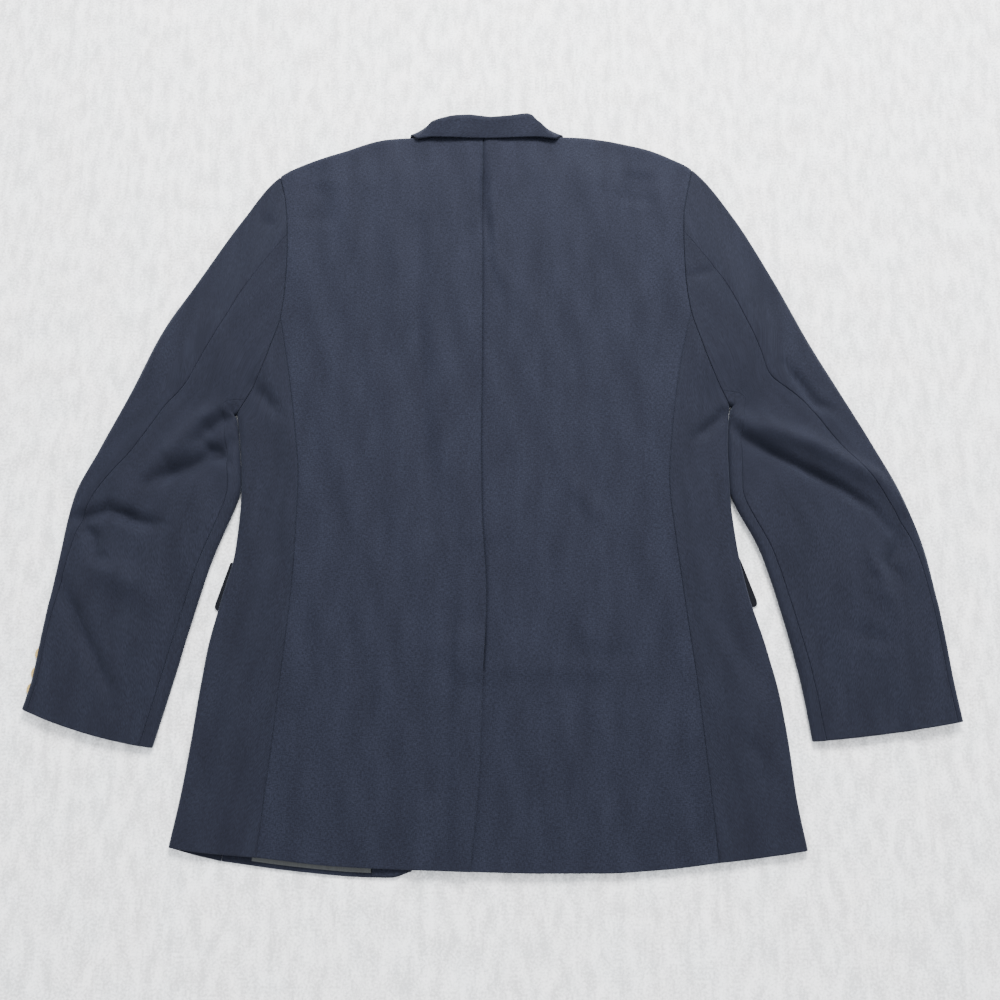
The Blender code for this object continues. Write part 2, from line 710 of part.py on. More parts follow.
def sleeve_stations(side, share, full, name):
    """The arcs of the columns of one sleeve piece in a row."""
    rows = SLEEVE[side]
    radius_out = float(radius_at(OUTER_FOLDS[side](share)[1]))
    radius_in = float(radius_at(INNER_FOLDS[side](share)[1]))
    knots = np.linspace(0, 1, len(rows["hindarm"]))
    widths = [
        float(hermite(share, knots, rows[seam], slopes_at(knots, rows[seam])))
        for seam in ("hindarm", "inseam")
    ]
    hindarm = flat_to_arc(widths[0], radius_out)
    inseam = full - flat_to_arc(widths[1], radius_in)
    if name == "under":
        return np.array([hindarm] + even_steps(hindarm, inseam, UNDER_SLEEVE_STEPS))
    near = np.array(quarter(radius_out) + even_steps(radius_out * TURN, hindarm, BACK_HOLE_STEPS))
    evened = np.linspace(0, hindarm, len(near))
    near = near + (evened - near) * ramp(share / 0.3)
    arcs = [inseam] + [full - arc for arc in quarter(radius_in)[::-1]]
    arcs += [full + arc for arc in quarter(radius_in)[1:]]
    arcs += even_steps(full + radius_in * TURN, 2 * full - radius_out * TURN, LOWER_STEPS)
    arcs += [2 * full - arc for arc in quarter(radius_out)[-2::-1]]
    return np.array(arcs + [2 * full + arc for arc in near[1:]])


def back_surface(side):
    """A back panel: rows by the arc from the shoulder fold, columns by the share out from the centre."""
    hole, seam, top = HOLES[side], BACK_SEAMS[side], TOPS[side]
    drop = hole.length * BACK_SHARE[side]
    total = drop + seam.length
    outer = joined(stretch(hole, 0, BACK_SHARE[side]), seam, drop / total)
    area = patch(CENTRE, outer, top, Line(BACK_HEM[side]))
    radius = SHOULDER_RADIUS[side]

    def surface(arc, across):
        inward, level = turn_over(arc, radius)
        neck = ramp((NECK_POINT_SHARE[side] - across) * top.length / NECK_RUN)
        straight = np.where(arc < radius * TURN, arc / TURN, inward)
        inward = inward + (straight - inward) * neck
        plan = area(across, inward / total)
        height = layer(plan, level + (1 - level) * neck, side)
        if side == "right":
            height = height - VENT_LIFT * in_vent(plan)
        return to_world(plan, height)

    return surface, drop, seam.length


def side_surface(side):
    """A side panel: rows by the share down, columns by the arc from the fold, upper layer positive."""
    hole = HOLES[side]

    def fold(down):
        return BODY_EDGES[side](read(FAN, "side_fold", down, by="back_seam"))

    def front_seam(down):
        return FRONT_SEAMS[side](read(FAN, "front_seam", down, by="back_seam"))

    upper = patch(BACK_SEAMS[side], fold, stretch(hole, BACK_SHARE[side], 1), Line(SIDE_HEM[side]))
    hem_under = Line(SIDE_HEM_UNDER[side][::-1])
    lower = patch(front_seam, fold, stretch(hole, FRONT_SHARE[side], 1), hem_under)
    share = {1: BACK_SHARE[side], -1: FRONT_SHARE[side]}
    seams = {1: BACK_SEAMS[side], -1: front_seam}

    def width(down, layer_sign):
        line = seams[layer_sign]
        top = hole.length * (1 - share[layer_sign])
        extra = top - np.linalg.norm(fold(0.0) - line(0.0))
        return np.linalg.norm(fold(down) - line(down), axis=-1) + extra * ramp(1 - down / HOLE_FADE)

    def surface(down, arc):
        radius = radius_at(fold(down)[..., 1])
        inward, level = turn_over(arc, radius)
        plan_upper = upper(1 - inward / width(down, 1), down)
        plan_lower = lower(1 - inward / width(down, -1), down)
        plan = np.where((arc >= 0)[..., None], plan_upper, plan_lower)
        return to_world(plan, layer(plan, level, side))

    return surface, width, fold


def front_surface(side):
    """A front: rows by the arc from the shoulder fold, columns by the share out from its front edge."""
    hole, seam = HOLES[side], FRONT_SEAMS[side]
    drop = hole.length * FRONT_SHARE[side]
    total = drop + seam.length
    outer = joined(stretch(hole, 0, FRONT_SHARE[side]), seam, drop / total)
    top = stretch(TOPS[side], NECK_POINT_SHARE[side], 1)
    area = patch(FRONT_EDGES[side], outer, top, Line(FRONT_HEM[side]))
    radius = SHOULDER_RADIUS[side]

    def surface(arc, across):
        inward, level = turn_over(arc, radius)
        plan = area(across, inward / total)
        return to_world(plan, layer(plan, -level, side))

    return surface, drop, seam.length


def front_rows(side):
    """The rows of a front: the armhole's stations, and on down the side-front seam."""
    drop = HOLES[side].length * FRONT_SHARE[side]
    downs = np.linspace(0, 1, SIDE_ROWS + 1)[1:]
    inward = drop + FRONT_SEAMS[side].length * read(FAN, "front_seam", downs, by="back_seam")
    stations = STATIONS[side]["lower"][TURN_STEPS + 1 :][::-1]
    rows = np.array(stations + list(flat_to_arc(inward, SHOULDER_RADIUS[side])))
    rows[0] = SEAM_GAP
    return rows


def fold_section(start, tip, end, turn, steps, depth=0.0):
    """A folded strip's section: from start up to a round turn at the tip, and on to the end.

    A depth gives the same section that far inside the strip's cloth.
    """
    along = tip - (start + end) / 2
    along /= np.linalg.norm(along)
    aside = end - start
    aside = aside - (aside @ along) * along
    aside /= np.linalg.norm(aside)
    centre = tip - along * turn
    turn = turn - depth
    start = start + aside * depth
    end = end - aside * depth
    first = centre - aside * turn
    points = [start + (first - start) * i / steps[0] for i in range(steps[0])]
    for i in range(steps[1] + 1):
        angle = math.pi * i / steps[1]
        points.append(centre + turn * (along * math.sin(angle) - aside * math.cos(angle)))
    last = points[-1]
    points += [last + (end - last) * i / steps[2] for i in range(1, steps[2] + 1)]
    return np.array(points)


def collar_surface():
    """The collar: rows by the place round the neck, columns by the steps of its folded section."""
    count = len(COLLAR["turn"])
    knots = np.arange(-(count - 1), count, dtype=float)
    rings = []
    for name in ("seam", "roll", "leaf"):
        out = np.concatenate([-COLLAR[name + "_out"][:0:-1], COLLAR[name + "_out"]])
        down = np.concatenate([COLLAR[name + "_down"][:0:-1], COLLAR[name + "_down"]])
        up = np.concatenate([COLLAR[name + "_up"][:0:-1], COLLAR[name + "_up"]])
        points = to_world(np.column_stack([COLLAR_MIDDLE + out, down]), up)
        rings.append((points, slopes_at(knots, points)))
    turn = np.concatenate([COLLAR["turn"][:0:-1], COLLAR["turn"]])
    turn_slopes = slopes_at(knots, turn)

    def surface(around, step, depth=0.0):
        points = []
        for u in around[:, 0]:
            ends = [hermite(u, knots, ring, slopes) for ring, slopes in rings]
            radius = float(hermite(u, knots, turn, turn_slopes))
            points.append(fold_section(*ends, radius, COLLAR_STEPS, depth))
        return np.array(points)

    return surface, count - 1


def lapel_surface(side):
    """A lapel: rows by the share down the roll line, columns by the steps of its folded section."""
    roll, edge = ROLLS[side], LAPEL_EDGES[side]
    total = HOLES[side].length * FRONT_SHARE[side] + FRONT_SEAMS[side].length
    front = FRONT_EDGES[side](turn_over(front_rows(side), SHOULDER_RADIUS[side])[0] / total)
    outward = -1 if side == "left" else 1
    upper = 2 * LAPEL_TURN

    def section_at(share):
        tip, leaf = roll(share), edge(share)
        aim = (leaf - tip) / np.linalg.norm(leaf - tip)
        leg = 5.0
        for _ in range(4):
            start = tip + aim * leg
            past = (start[0] - np.interp(start[1], front[:, 1], front[:, 0])) * outward
            leg -= past + LAPEL_GAP
        start = tip + aim * leg
        ends = [np.append(start, upper), np.append(tip, LAPEL_TURN), np.append(leaf, 0.0)]
        return fold_section(*ends, LAPEL_TURN, LAPEL_STEPS)

    def surface(down, step):
        points = np.empty(down.shape + (3,))
        for place_at in np.ndindex(down.shape):
            section = section_at(down[place_at])
            at = np.clip(step[place_at], 0, len(section) - 1)
            points[place_at] = [np.interp(at, np.arange(len(section)), section[:, i]) for i in range(3)]
        height = points[..., 2] + (over_left(points[..., :2]) if side == "right" else 0)
        return to_world(points[..., :2], height)

    return surface


def strip_surface(strip):
    """A strip on the left front's inner face along its hem: rows run along it and columns up it, by share."""
    hem = Line(FRONT_HEM["left"][::-1])
    spots = hem.sampled(400)

    def surface(along, up):
        x = strip["outer_x"] + (strip["inner_x"] - strip["outer_x"]) * along
        down = np.interp(x, spots[:, 0], spots[:, 1]) - strip["margin"] - strip["height"] * up
        plan = np.stack([x, down], axis=-1)
        return to_world(plan, lower_height(plan, "left") + LIFT + strip["cloth"])

    return surface


# ---- making the solids


def finish(name):
    """The material of a finish, made once."""
    if name in bpy.data.materials:
        return bpy.data.materials[name]
    colour, roughness, metallic = FINISHES[name]
    material = bpy.data.materials.new(name)
    material.use_nodes = True
    shader = material.node_tree.nodes["Principled BSDF"]
    shader.inputs["Base Color"].default_value = colour
    shader.inputs["Roughness"].default_value = roughness
    shader.inputs["Metallic"].default_value = metallic
    return material


def put(shape, name, finish_name):
    """Puts a bmesh in the garment's collection as a named object."""
    mesh = bpy.data.meshes.new(name)
    shape.to_mesh(mesh)
    shape.free()
    mesh.materials.append(finish(finish_name))
    mesh.shade_smooth()
    piece = bpy.data.objects.new(name, mesh)
    bpy.data.collections[OBJECT_NAME].objects.link(piece)
    return piece


def faces_of(surface, rows, columns, facing, cloth):
    """The outer points of a wall of cloth, and the inner ones along its normals."""
    row_step = NUDGE * (rows.max() - rows.min())
    column_step = NUDGE * (columns.max() - columns.min())
    outer = surface(rows, columns)
    along = surface(rows + row_step, columns) - surface(rows - row_step, columns)
    across = surface(rows, columns + column_step) - surface(rows, columns - column_step)
    normal = np.cross(along, across)
    normal /= np.linalg.norm(normal, axis=-1)[..., None]
    if normal[len(rows) // 2, 0] @ np.array(facing, float) < 0:
        normal = -normal
    return outer, outer - cloth * normal


def wall(name, surface, rows, columns, facing=None, cloth=CLOTH, finish_name="wool", keep=None):
    """A closed wall of cloth on a surface. Its outer face looks the way of facing at its first column.

    With no facing, the surface itself gives its points at the cloth's depth.
    """
    rows, columns = np.broadcast_arrays(np.asarray(rows, float), np.asarray(columns, float))
    if facing is None:
        outer, inner = surface(rows, columns), surface(rows, columns, cloth)
    else:
        outer, inner = faces_of(surface, rows, columns, facing, cloth)

    shape = bmesh.new()
    bmesh.ops.create_grid(shape, x_segments=rows.shape[1] - 1, y_segments=rows.shape[0] - 1, size=1.0)
    number = shape.verts.layers.int.new("number")
    for i, vert in enumerate(shape.verts):
        vert[number] = i
        vert.co = outer.reshape(-1, 3)[i] * MM
    if keep is not None:
        kept = keep(rows, columns).reshape(-1)
        loose = [face for face in shape.faces if not all(kept[vert[number]] for vert in face.verts)]
        bmesh.ops.delete(shape, geom=loose, context="FACES")
    turned = bmesh.ops.extrude_face_region(shape, geom=shape.faces[:], use_keep_orig=True)
    for vert in turned["geom"]:
        if isinstance(vert, bmesh.types.BMVert):
            vert.co = inner.reshape(-1, 3)[vert[number]] * MM
    bmesh.ops.recalc_face_normals(shape, faces=shape.faces[:])
    return put(shape, name, finish_name)


def make_sleeve(side):
    surface, full = sleeve_surface(side)
    shares = np.linspace(0, 1, SLEEVE_ROWS + 1)
    for part, name in (("top", "sleeve_top_"), ("under", "sleeve_under_")):
        arcs = np.array([sleeve_stations(side, s, float(full(np.array(s))), part) for s in shares])
        if part == "under":
            arcs[:, 0] += SEAM_GAP
            arcs[:, -1] -= SEAM_GAP
        wall(name + side, surface, shares[:, None], arcs, UP)


def make_back(side):
    surface, drop, seam_length = back_surface(side)
    stations = STATIONS[side]["back"] + STATIONS[side]["under"][1 : SEAM_STATION + 1]
    inward = drop + seam_length * np.linspace(0, 1, SIDE_ROWS + 1)[1:]
    rows = np.array(stations + list(flat_to_arc(inward, SHOULDER_RADIUS[side])))
    neck = NECK_POINT_SHARE[side]
    columns = [0.001] + [neck * share for share in NECK_COLUMNS]
    columns += [neck + (1 - neck) * share for share in PANEL_COLUMNS[1:]]
    keep = None
    if side == "right":
        under = -np.array(NECK_COLUMNS[:3])[::-1] * neck
        columns = np.concatenate([under, columns])
        top = drop + seam_length * VENT_TOP_SHARE

        def keep(arc, across):
            return (across > 0) | (arc >= flat_to_arc(top, SHOULDER_RADIUS[side]) - 0.01)

    wall("back_" + side, surface, rows[:, None], columns, UP, keep=keep)


def make_side(side):
    surface, width, fold = side_surface(side)
    arcs_full = STATIONS[side]["full"]
    stations = [arcs_full - arc for arc in STATIONS[side]["under"][SEAM_STATION:]]
    turn0 = UNDERARM_RADIUS[side] * TURN
    start = (np.array(stations) - turn0) / (stations[0] - turn0)
    level = np.linspace(1, 0, len(start) + 1)[:-1]
    downs = np.linspace(0, 1, SIDE_ROWS + 1)
    arcs = []
    for down in downs:
        radius = float(radius_at(fold(down)[1]))
        reach = flat_to_arc(float(width(np.array(down), 1)), radius)
        under = flat_to_arc(float(width(np.array(down), -1)), radius)
        shares = start + (level - start) * ramp(down / 0.25)
        turn = np.array(quarter(radius))
        upper = list(turn[-1] + shares * (reach - turn[-1])) + list(turn[::-1])
        row = upper + list(-turn[1:]) + [-under]
        row[0] -= SEAM_GAP
        row[-1] += SEAM_GAP
        arcs.append(row)
    wall("side_" + side, surface, downs[:, None], np.array(arcs), UP)


def make_front(side):
    columns = np.array(PANEL_COLUMNS)
    columns[-1] = FRONT_OUTER
    wall("front_" + side, front_surface(side)[0], front_rows(side)[:, None], columns, DOWN)


def make_lapel(side):
    shares = np.linspace(0, 1, LAPEL_ROWS + 1)
    steps = np.arange(sum(LAPEL_STEPS) + 1)
    wall("lapel_" + side, lapel_surface(side), shares[:, None], steps, UP)


def make_collar():
    surface, reach = collar_surface()
    around = np.linspace(-reach, reach, 2 * reach * COLLAR_ROWS + 1)
    steps = np.arange(sum(COLLAR_STEPS) + 1)
    wall("collar", surface, around[:, None], steps, cloth=COLLAR_CLOTH)


def make_flap(side):
    """A flap: a flat plate with its two free corners rounded."""
    inner_top, outer_top, outer_low, inner_low = np.array(FLAP[side], float)
    outline = [inner_top, outer_top]
    for before, corner, after in ((outer_top, outer_low, inner_low), (outer_low, inner_low, inner_top)):
        start = corner + (before - corner) / np.linalg.norm(before - corner) * FLAP_ROUNDING
        end = corner + (after - corner) / np.linalg.norm(after - corner) * FLAP_ROUNDING
        for t in (0.0, 0.33, 0.67, 1.0):
            outline.append((1 - t) ** 2 * start + 2 * t * (1 - t) * corner + t**2 * end)
    shape = bmesh.new()
    corners = [shape.verts.new(to_world(point, 0.0) * MM) for point in outline]
    face = shape.faces.new(corners)
    turned = bmesh.ops.extrude_face_region(shape, geom=[face], use_keep_orig=True)
    moved = [item for item in turned["geom"] if isinstance(item, bmesh.types.BMVert)]
    bmesh.ops.translate(shape, verts=moved, vec=(0, 0, CLOTH * MM))
    bmesh.ops.recalc_face_normals(shape, faces=shape.faces[:])
    put(shape, "flap_" + side, "wool")


def make_strip(name, strip):
    along = np.linspace(0, 1, STRIP_ROWS + 1)
    up = np.linspace(0, 1, 3)
    wall(name, strip_surface(strip), along[:, None], up, UP, strip["cloth"], strip["finish"])


def make_button(name, plan, radius, thickness):
    """A turned metal button lying on its face, its rim rounded and its face a little hollow."""
    shape = bmesh.new()
    profile = [
        (0.0, thickness),
        (radius * 0.55, thickness),
        (radius * 0.92, thickness * 0.72),
        (radius, thickness * 0.45),
        (radius * 0.94, thickness * 0.12),
        (radius * 0.80, 0.0),
        (radius * 0.62, thickness * 0.14),
        (0.0, thickness * 0.14),
    ]
    points = [shape.verts.new((x * MM, 0, z * MM)) for x, z in profile]
    for first, second in zip(points[:-1], points[1:]):
        shape.edges.new((first, second))
    button = put(shape, name, "brass")
    button.location = to_world(np.array(plan, float), 0.0) * MM
    turn = button.modifiers.new("Turned", "SCREW")
    turn.steps = BUTTON_SIDES
    turn.render_steps = BUTTON_SIDES
    turn.use_merge_vertices = True
    turn.merge_threshold = 0.00001
    turn.use_normal_calculate = True


def make_blazer():
    for side in SIDES:
        make_back(side)
        make_side(side)
        make_front(side)
        make_lapel(side)
        make_sleeve(side)
        make_flap(side)
        for i, plan in enumerate(CUFF_BUTTONS[side]):
            make_button(f"cuff_button_{side}_{i + 1}", plan, CUFF_BUTTON_RADIUS, CUFF_BUTTON_THICKNESS)
    make_collar()
    make_strip("facing_left", FACING)
    make_strip("lining_left", LINING)
    rows = zip(*BUTTONS.values())
    for name, (x, down, radius, thickness) in zip(("front_button_upper", "front_button_lower"), rows):
        make_button(name, (x, down), radius, thickness)


for old in list(bpy.data.objects):
    bpy.data.objects.remove(old)
bpy.context.scene.collection.children.link(bpy.data.collections.new(OBJECT_NAME))
make_blazer()
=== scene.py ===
"""The looks of a man's single-vented navy blazer, laid face down on a pale surface.

Every piece of cloth is a thin, finely meshed shell on the form of its solid, from the same tabled outlines,
with the folds, rounded edges, seams and weave that the solids leave out.
Plan sizes are millimetres. x runs to the wearer's right from the centre back, and down runs from the back
neck to the hem. The wearer's left is the viewer's left, because the blazer is seen from behind.
"""

import math

import bmesh
import bpy
import numpy as np
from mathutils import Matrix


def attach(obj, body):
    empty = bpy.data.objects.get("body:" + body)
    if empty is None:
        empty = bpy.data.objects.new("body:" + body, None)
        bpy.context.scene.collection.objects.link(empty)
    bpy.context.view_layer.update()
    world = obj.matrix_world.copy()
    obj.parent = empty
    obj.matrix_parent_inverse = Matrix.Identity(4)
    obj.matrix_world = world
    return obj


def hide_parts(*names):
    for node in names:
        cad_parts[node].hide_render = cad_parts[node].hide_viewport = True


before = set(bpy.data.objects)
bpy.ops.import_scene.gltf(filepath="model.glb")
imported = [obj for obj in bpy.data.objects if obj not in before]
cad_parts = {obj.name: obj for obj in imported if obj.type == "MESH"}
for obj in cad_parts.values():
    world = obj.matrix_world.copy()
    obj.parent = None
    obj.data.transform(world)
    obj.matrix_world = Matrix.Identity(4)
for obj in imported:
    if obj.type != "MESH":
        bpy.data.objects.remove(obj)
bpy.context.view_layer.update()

MM = 0.001
OUTWARD = {"left": -1, "right": 1}
SIDES = tuple(OUTWARD)
UP = (0, 0, 1)
DOWN = (0, 0, -1)

# The cloth and how its pieces are set together.
CLOTH = 2.0  # wool with its interlining
COLLAR_CLOTH = 2.0
FACING_CLOTH = 1.4
LINING_CLOTH = 1.0
SEAM_GAP = 0.3
LAYER_GAP = 0.4  # between a piece and the one that it lies on
LIFT = CLOTH + LAYER_GAP  # how far a layer of cloth raises what lies on it
COLLAR_LIFT = LIFT + 0.8  # and how far the collar's fall does
RIGHT_FRONT_AIR = 1.12  # the right front stands a little more above its raised lapel
OVERLAP_MARGIN = 100.0  # the right front is raised fully this far past the left one
OVERLAP_RUN = 80.0  # and slopes back down over this distance
OVERLAP_AIR = 0.8  # more air between the fronts, which bend over each other
AIR = 1.0  # least air between the upper and the lower layer
COVER_MARGIN = 38.0  # a layer is raised fully this far past what lies under it
COVER_RUN = 26.0  # and slopes back down over this distance
LOFT_RUN = 60.0  # the upper layer rises to its full loft this far from a fold
TURN = math.pi / 2
TURN_STEPS = 3  # rows of faces in a quarter turn of a fold
LEAST_FOLD = 6.8  # least height of a side fold, where what is under it lifts the cloth
OFF_CENTRE = (90.0, 60.0)  # what is under a fold lifts it from this far off the centre, over this distance
BELOW_NECK = (90.0, 200.0)  # the fronts bend over each other from this level down, over this distance
STACK_RUN = 20.0  # the top of the lower layer steps up over this distance
EDGING_FROM = (-30.0, 705.0)  # the left facing and lining raise it from this x and level, out and down
RIGHT_FROM = -40.0  # and the right front raises it from this x, to the right
FOLD_DROP = 12.0  # at a fold's edge the upper layer may lie this far below what clears the lower one
FOLD_CLEAR = 0.25  # and it keeps clear from this share of the way up the fold's turn
SOFT_STEP = 0.8  # how softly the cloth goes over the edge of what lifts it
HOLE_FADE = 0.25  # the armhole's bend fades out over this share of a sleeve or side panel
EVENED_BY = 0.3  # a sleeve's columns are evenly apart from this share of its length on

# How many steps each stretch round the armhole takes. The sleeve and the body share them.
BACK_HOLE_STEPS = 2
UNDER_SLEEVE_STEPS = 6
SEAM_STATION = 3  # the side-back seam meets the armhole at this step of the under sleeve
LOWER_STEPS = 8

# How many steps each piece takes down its length, and across its section.
SLEEVE_ROWS = 180
SIDE_ROWS = 170
PANEL_ROWS = 16  # of a back or front, below the armhole
VENT_TOP_SHARE = 11 / 16  # the vent's top, along the side-back seam's rows
LAPEL_ROWS = 11
LAPEL_STEPS = (1, 6, 4)  # upper leg, round turn and fall
COLLAR_ROWS = 14  # sections to a row of the collar's table
COLLAR_STEPS = (5, 18, 14)
STRIP_ROWS = 6
STRIP_COLUMNS = 2
NECK_COLUMNS = (0.17, 0.34, 0.51, 0.75, 1.0)  # of a back, as shares of the way to the neck point
UNDERLAP_COLUMNS = 3  # the vent's underlap has the first of these, mirrored
PANEL_COLUMNS = (0.0, 0.1, 0.25, 0.4, 0.55, 0.7, 0.85, 1.0)  # of a back or front, from there out
FRONT_OUTER = 0.998  # a front's last column stops just short of its seam
BACK_LAP = 0.0002  # a back reaches this share of its width over its seams

# The middle of the garment's outline, which is the origin of the finished part.
MIDDLE_X = 11.0
MIDDLE_DOWN = 381.8


def table(columns, rows):
    """A table with named columns, as one array for each name."""
    return dict(zip(columns.split(), np.array(rows, float).T))


# How the garment lies, level by level: the radius of its side folds, and the upper layer's height above them.
LAY = table(
    "down radius loft",
    [
        (-30, 6.4, 5.0),
        (120, 6.2, 6.0),
        (320, 5.6, 4.5),
        (500, 4.9, 2.6),
        (640, 4.3, 0.8),
        (800, 3.9, -0.3),
    ],
)

# The body below the armholes, level by level.
BODY = table(
    "down left_edge left_front_seam left_back_seam centre right_back_seam right_front_seam right_edge",
    [
        (200, -262, -214, -216, 0, 223, 222, 266),
        (252, -262, -224, -206, 0, 210, 228, 262),
        (300, -260, -226, -198, -1, 202, 230, 260),
        (345, -255, -220, -192, -1, 196, 224, 255),
        (400, -248, -212, -187, -1, 192, 220, 255),
        (460, -250, -212, -188, 3, 197, 222, 259),
        (520, -262, -220, -191, 5, 204, 230, 270),
        (580, -274, -228, -196, 2, 211, 242, 287),
        (640, -280, -234, -201, 0, 217, 252, 298),
        (700, -287, -240, -207, -2, 222, 256, 303),
        (780, -300, -248, -214, -10, 228, 262, 315),
    ],
)

# The armholes, by the share of the depth from shoulder point to underarm.
ARMHOLE = table(
    "share left_x right_x",
    [
        (0.00, -225, 232),
        (0.11, -217, 225),
        (0.22, -213, 219.5),
        (0.36, -211, 218),
        (0.50, -212, 219),
        (0.62, -215, 222.5),
        (0.72, -223, 230),
        (0.82, -232, 239),
        (0.92, -244, 250),
        (1.00, -257, 260),
    ],
)
ARMHOLE_DEPTH = {"left": (43, 321), "right": (34, 312)}

# The shoulder line from the neck point to the shoulder point, and the back neck seam up to it.
SHOULDER = {
    "left": [(-76, -6), (-105, -4), (-155, 11), (-193, 25), (-225, 43)],
    "right": [(84, -7), (106, -6), (131, -3), (181, 8), (209, 20), (232, 34)],
}
NECK_SEAM = {
    "left": [(0, -11.5), (-35, -11), (-60, -8.5), (-76, -6)],
    "right": [(0, -11.5), (40, -11.5), (68, -9.5), (84, -7)],
}
NECK_RUN = 24.0  # the neck seam climbs from the fold at the neck point over this distance

# The sleeves, section by section from the armhole to the cuff: both folded edges in plan, and how far the
# hindarm and the inseam seam lie in from them.
SLEEVE = {
    "left": table(
        "outer_x outer_down inner_x inner_down hindarm inseam",
        [
            (-225, 43, -257, 321, 77, 17),
            (-264, 97, -257.5, 320.8, 70, 17),
            (-309, 172, -258.6, 320.9, 68, 16),
            (-342, 228, -259.4, 321.6, 60, 16),
            (-370, 296, -256.9, 325, 46, 15),
            (-398, 359, -250.4, 370, 35, 14),
            (-420, 412, -248.2, 401, 20, 13),
            (-429, 478, -274, 481, 9, 13),
            (-438, 550, -293, 555, 6, 13),
            (-443, 595, -307, 612, 6, 13),
            (-450, 626, -320, 663, 6, 13),
        ],
    ),
    "right": table(
        "outer_x outer_down inner_x inner_down hindarm inseam",
        [
            (232, 34, 260, 312, 82, 17),
            (274, 91, 260.5, 311.8, 74, 17),
            (315, 169, 261.6, 311.9, 70, 16),
            (348, 240, 262.4, 312.6, 60, 16),
            (377, 296, 260.0, 317, 46, 15),
            (405, 350, 255.5, 362, 35, 14),
            (434, 412, 255.5, 401, 20, 13),
            (452, 474, 284, 470, 9, 13),
            (462, 548, 303, 540, 6, 13),
            (467, 600, 316, 600, 6, 13),
            (472, 638, 324, 657, 6, 13),
        ],
    ),
}
CUFF_BOW = {"left": 5.0, "right": 2.0}  # how far the cuff's middle hangs past a straight line

# The rows of the side panels fan out from the underarm: how far down the side fold and the front seam they
# start, by the share down the back seam.
FAN = table(
    "back_seam side_fold front_seam",
    [
        (0.00, 0.000, 0.000),
        (0.07, 0.005, 0.021),
        (0.14, 0.012, 0.045),
        (0.21, 0.026, 0.076),
        (0.30, 0.075, 0.138),
        (0.50, 0.339, 0.384),
        (1.00, 1.000, 1.000),
    ],
)

# The hem, from the side fold to the centre back, and the left and right fronts' own hems below or above it.
BACK_HEM = {
    "left": [(-9.5, 778), (-61, 776.5), (-138, 773), (-213, 765)],
    "right": [(-9.5, 778), (57, 779.5), (114, 779.5), (177, 776), (227, 770)],
}
SIDE_HEM = {
    "left": [(-213, 765), (-262, 761), (-298, 756)],
    "right": [(227, 770), (256, 767), (313, 759)],
}
SIDE_HEM_UNDER = {
    "left": [(-298, 756), (-272, 763), (-247, 768.5)],
    "right": [(313, 759), (286, 762), (261, 765)],
}
FRONT_HEM = {
    "left": [(-66, 778), (-85, 783.5), (-111, 783), (-173, 778), (-247, 768.5)],
    "right": [(72, 768), (92, 774), (120, 774.5), (177, 771), (261, 765)],
}

# The fronts: neckline, roll line and cutaway front edge, from the neck point to the hem's corner.
FRONT_EDGE = {
    "left": [
        (-76, -6), (-72, 6), (-65, 22), (-52, 58), (-40, 92), (-28, 170), (-13.5, 268), (3.5, 382),
        (11, 420), (17, 440), (18, 480), (18, 530), (12, 600), (-3, 665), (-25, 722), (-50, 764), (-66, 778),
    ],
    "right": [
        (84, -7), (80, 6), (73, 22), (60, 58), (48, 92), (35, 170), (18.5, 268), (-1.5, 382),
        (-10, 420), (-17, 440), (-18, 480), (-18, 530), (-12, 600), (5, 665), (30, 720), (56, 758), (72, 768),
    ],
}

# The turned-back lapels: the tip of the fold along the roll line, and the lapel's free edge.
ROLL_LINE = {
    "left": [(-35.0, 92.8), (-22.6, 170), (-8.0, 268), (8.8, 382), (14.4, 412)],
    "right": [(43.0, 92.8), (29.6, 170), (13.0, 268), (-6.8, 382), (-13.4, 412)],
}
LAPEL_EDGE = {
    "left": [(-112, 107), (-110, 150), (-92, 240), (-50, 340), (2, 410)],
    "right": [(120, 107), (118, 150), (100, 240), (58, 340), (0, 410)],
}
LAPEL_TURN = 2.2  # radius of the lapel's fold
LAPEL_GAP = 1.0  # between the front and the lapel's fold
LAPEL_LEG = 5.0  # a first guess of the lapel's upper leg
LEG_TRIES = 4  # and how often it is fitted to that gap

# The collar, one row for each section from the centre back round the neck fold to the gorge: where the stand
# is sewn on, where it rolls over, and the fall's free edge, each as distance out, down and up.
COLLAR = table(
    "seam_out seam_down seam_up roll_out roll_down roll_up leaf_out leaf_down leaf_up turn",
    [
        (0, -12.2, 17.4, 0, -18.3, 33, 0, 2, 22.5, 4.5),
        (36, -12.2, 17.0, 35, -18.6, 32, 38, 0.5, 22, 4.5),
        (59, -11.4, 14.6, 54, -19.0, 26, 66, -1.0, 19, 4.3),
        (69.5, -10.8, 11.2, 65.0, -18.6, 19.2, 82.8, 0.0, 18.4, 4.0),
        (74.2, -10.8, 9.6, 65.8, -17.8, 12.2, 89.9, -8.3, 12.6, 3.8),
        (76.4, -9.6, 8.3, 66.3, -15.9, 7.5, 92.5, -11.7, 6.5, 3.5),
        (76.8, -7.8, 7.3, 65.2, -12.8, 4.4, 93.6, -8.8, 2.0, 3.3),
        (76.4, -5.6, 6.4, 64.4, -9.4, 3.1, 93.7, -4.8, 0.1, 3.0),
        (73, 9.0, 5.9, 62, 5.0, 3.0, 94, 6.0, 0, 2.9),
        (67, 24, 5.4, 56, 20, 2.7, 95, 30, 0, 2.7),
        (54, 58, 5.2, 46, 55, 2.6, 94, 66, 0, 2.6),
        (42.4, 91.6, 5.2, 36.4, 90.5, 2.6, 89, 100.0, 0, 2.6),
    ],
)
COLLAR_MIDDLE = 4.0
COLLAR_UNDER = 6  # from this row on the collar lies under the fronts
COLLAR_FLAT = 19.0  # above this height the collar is pressed to a share of its rise
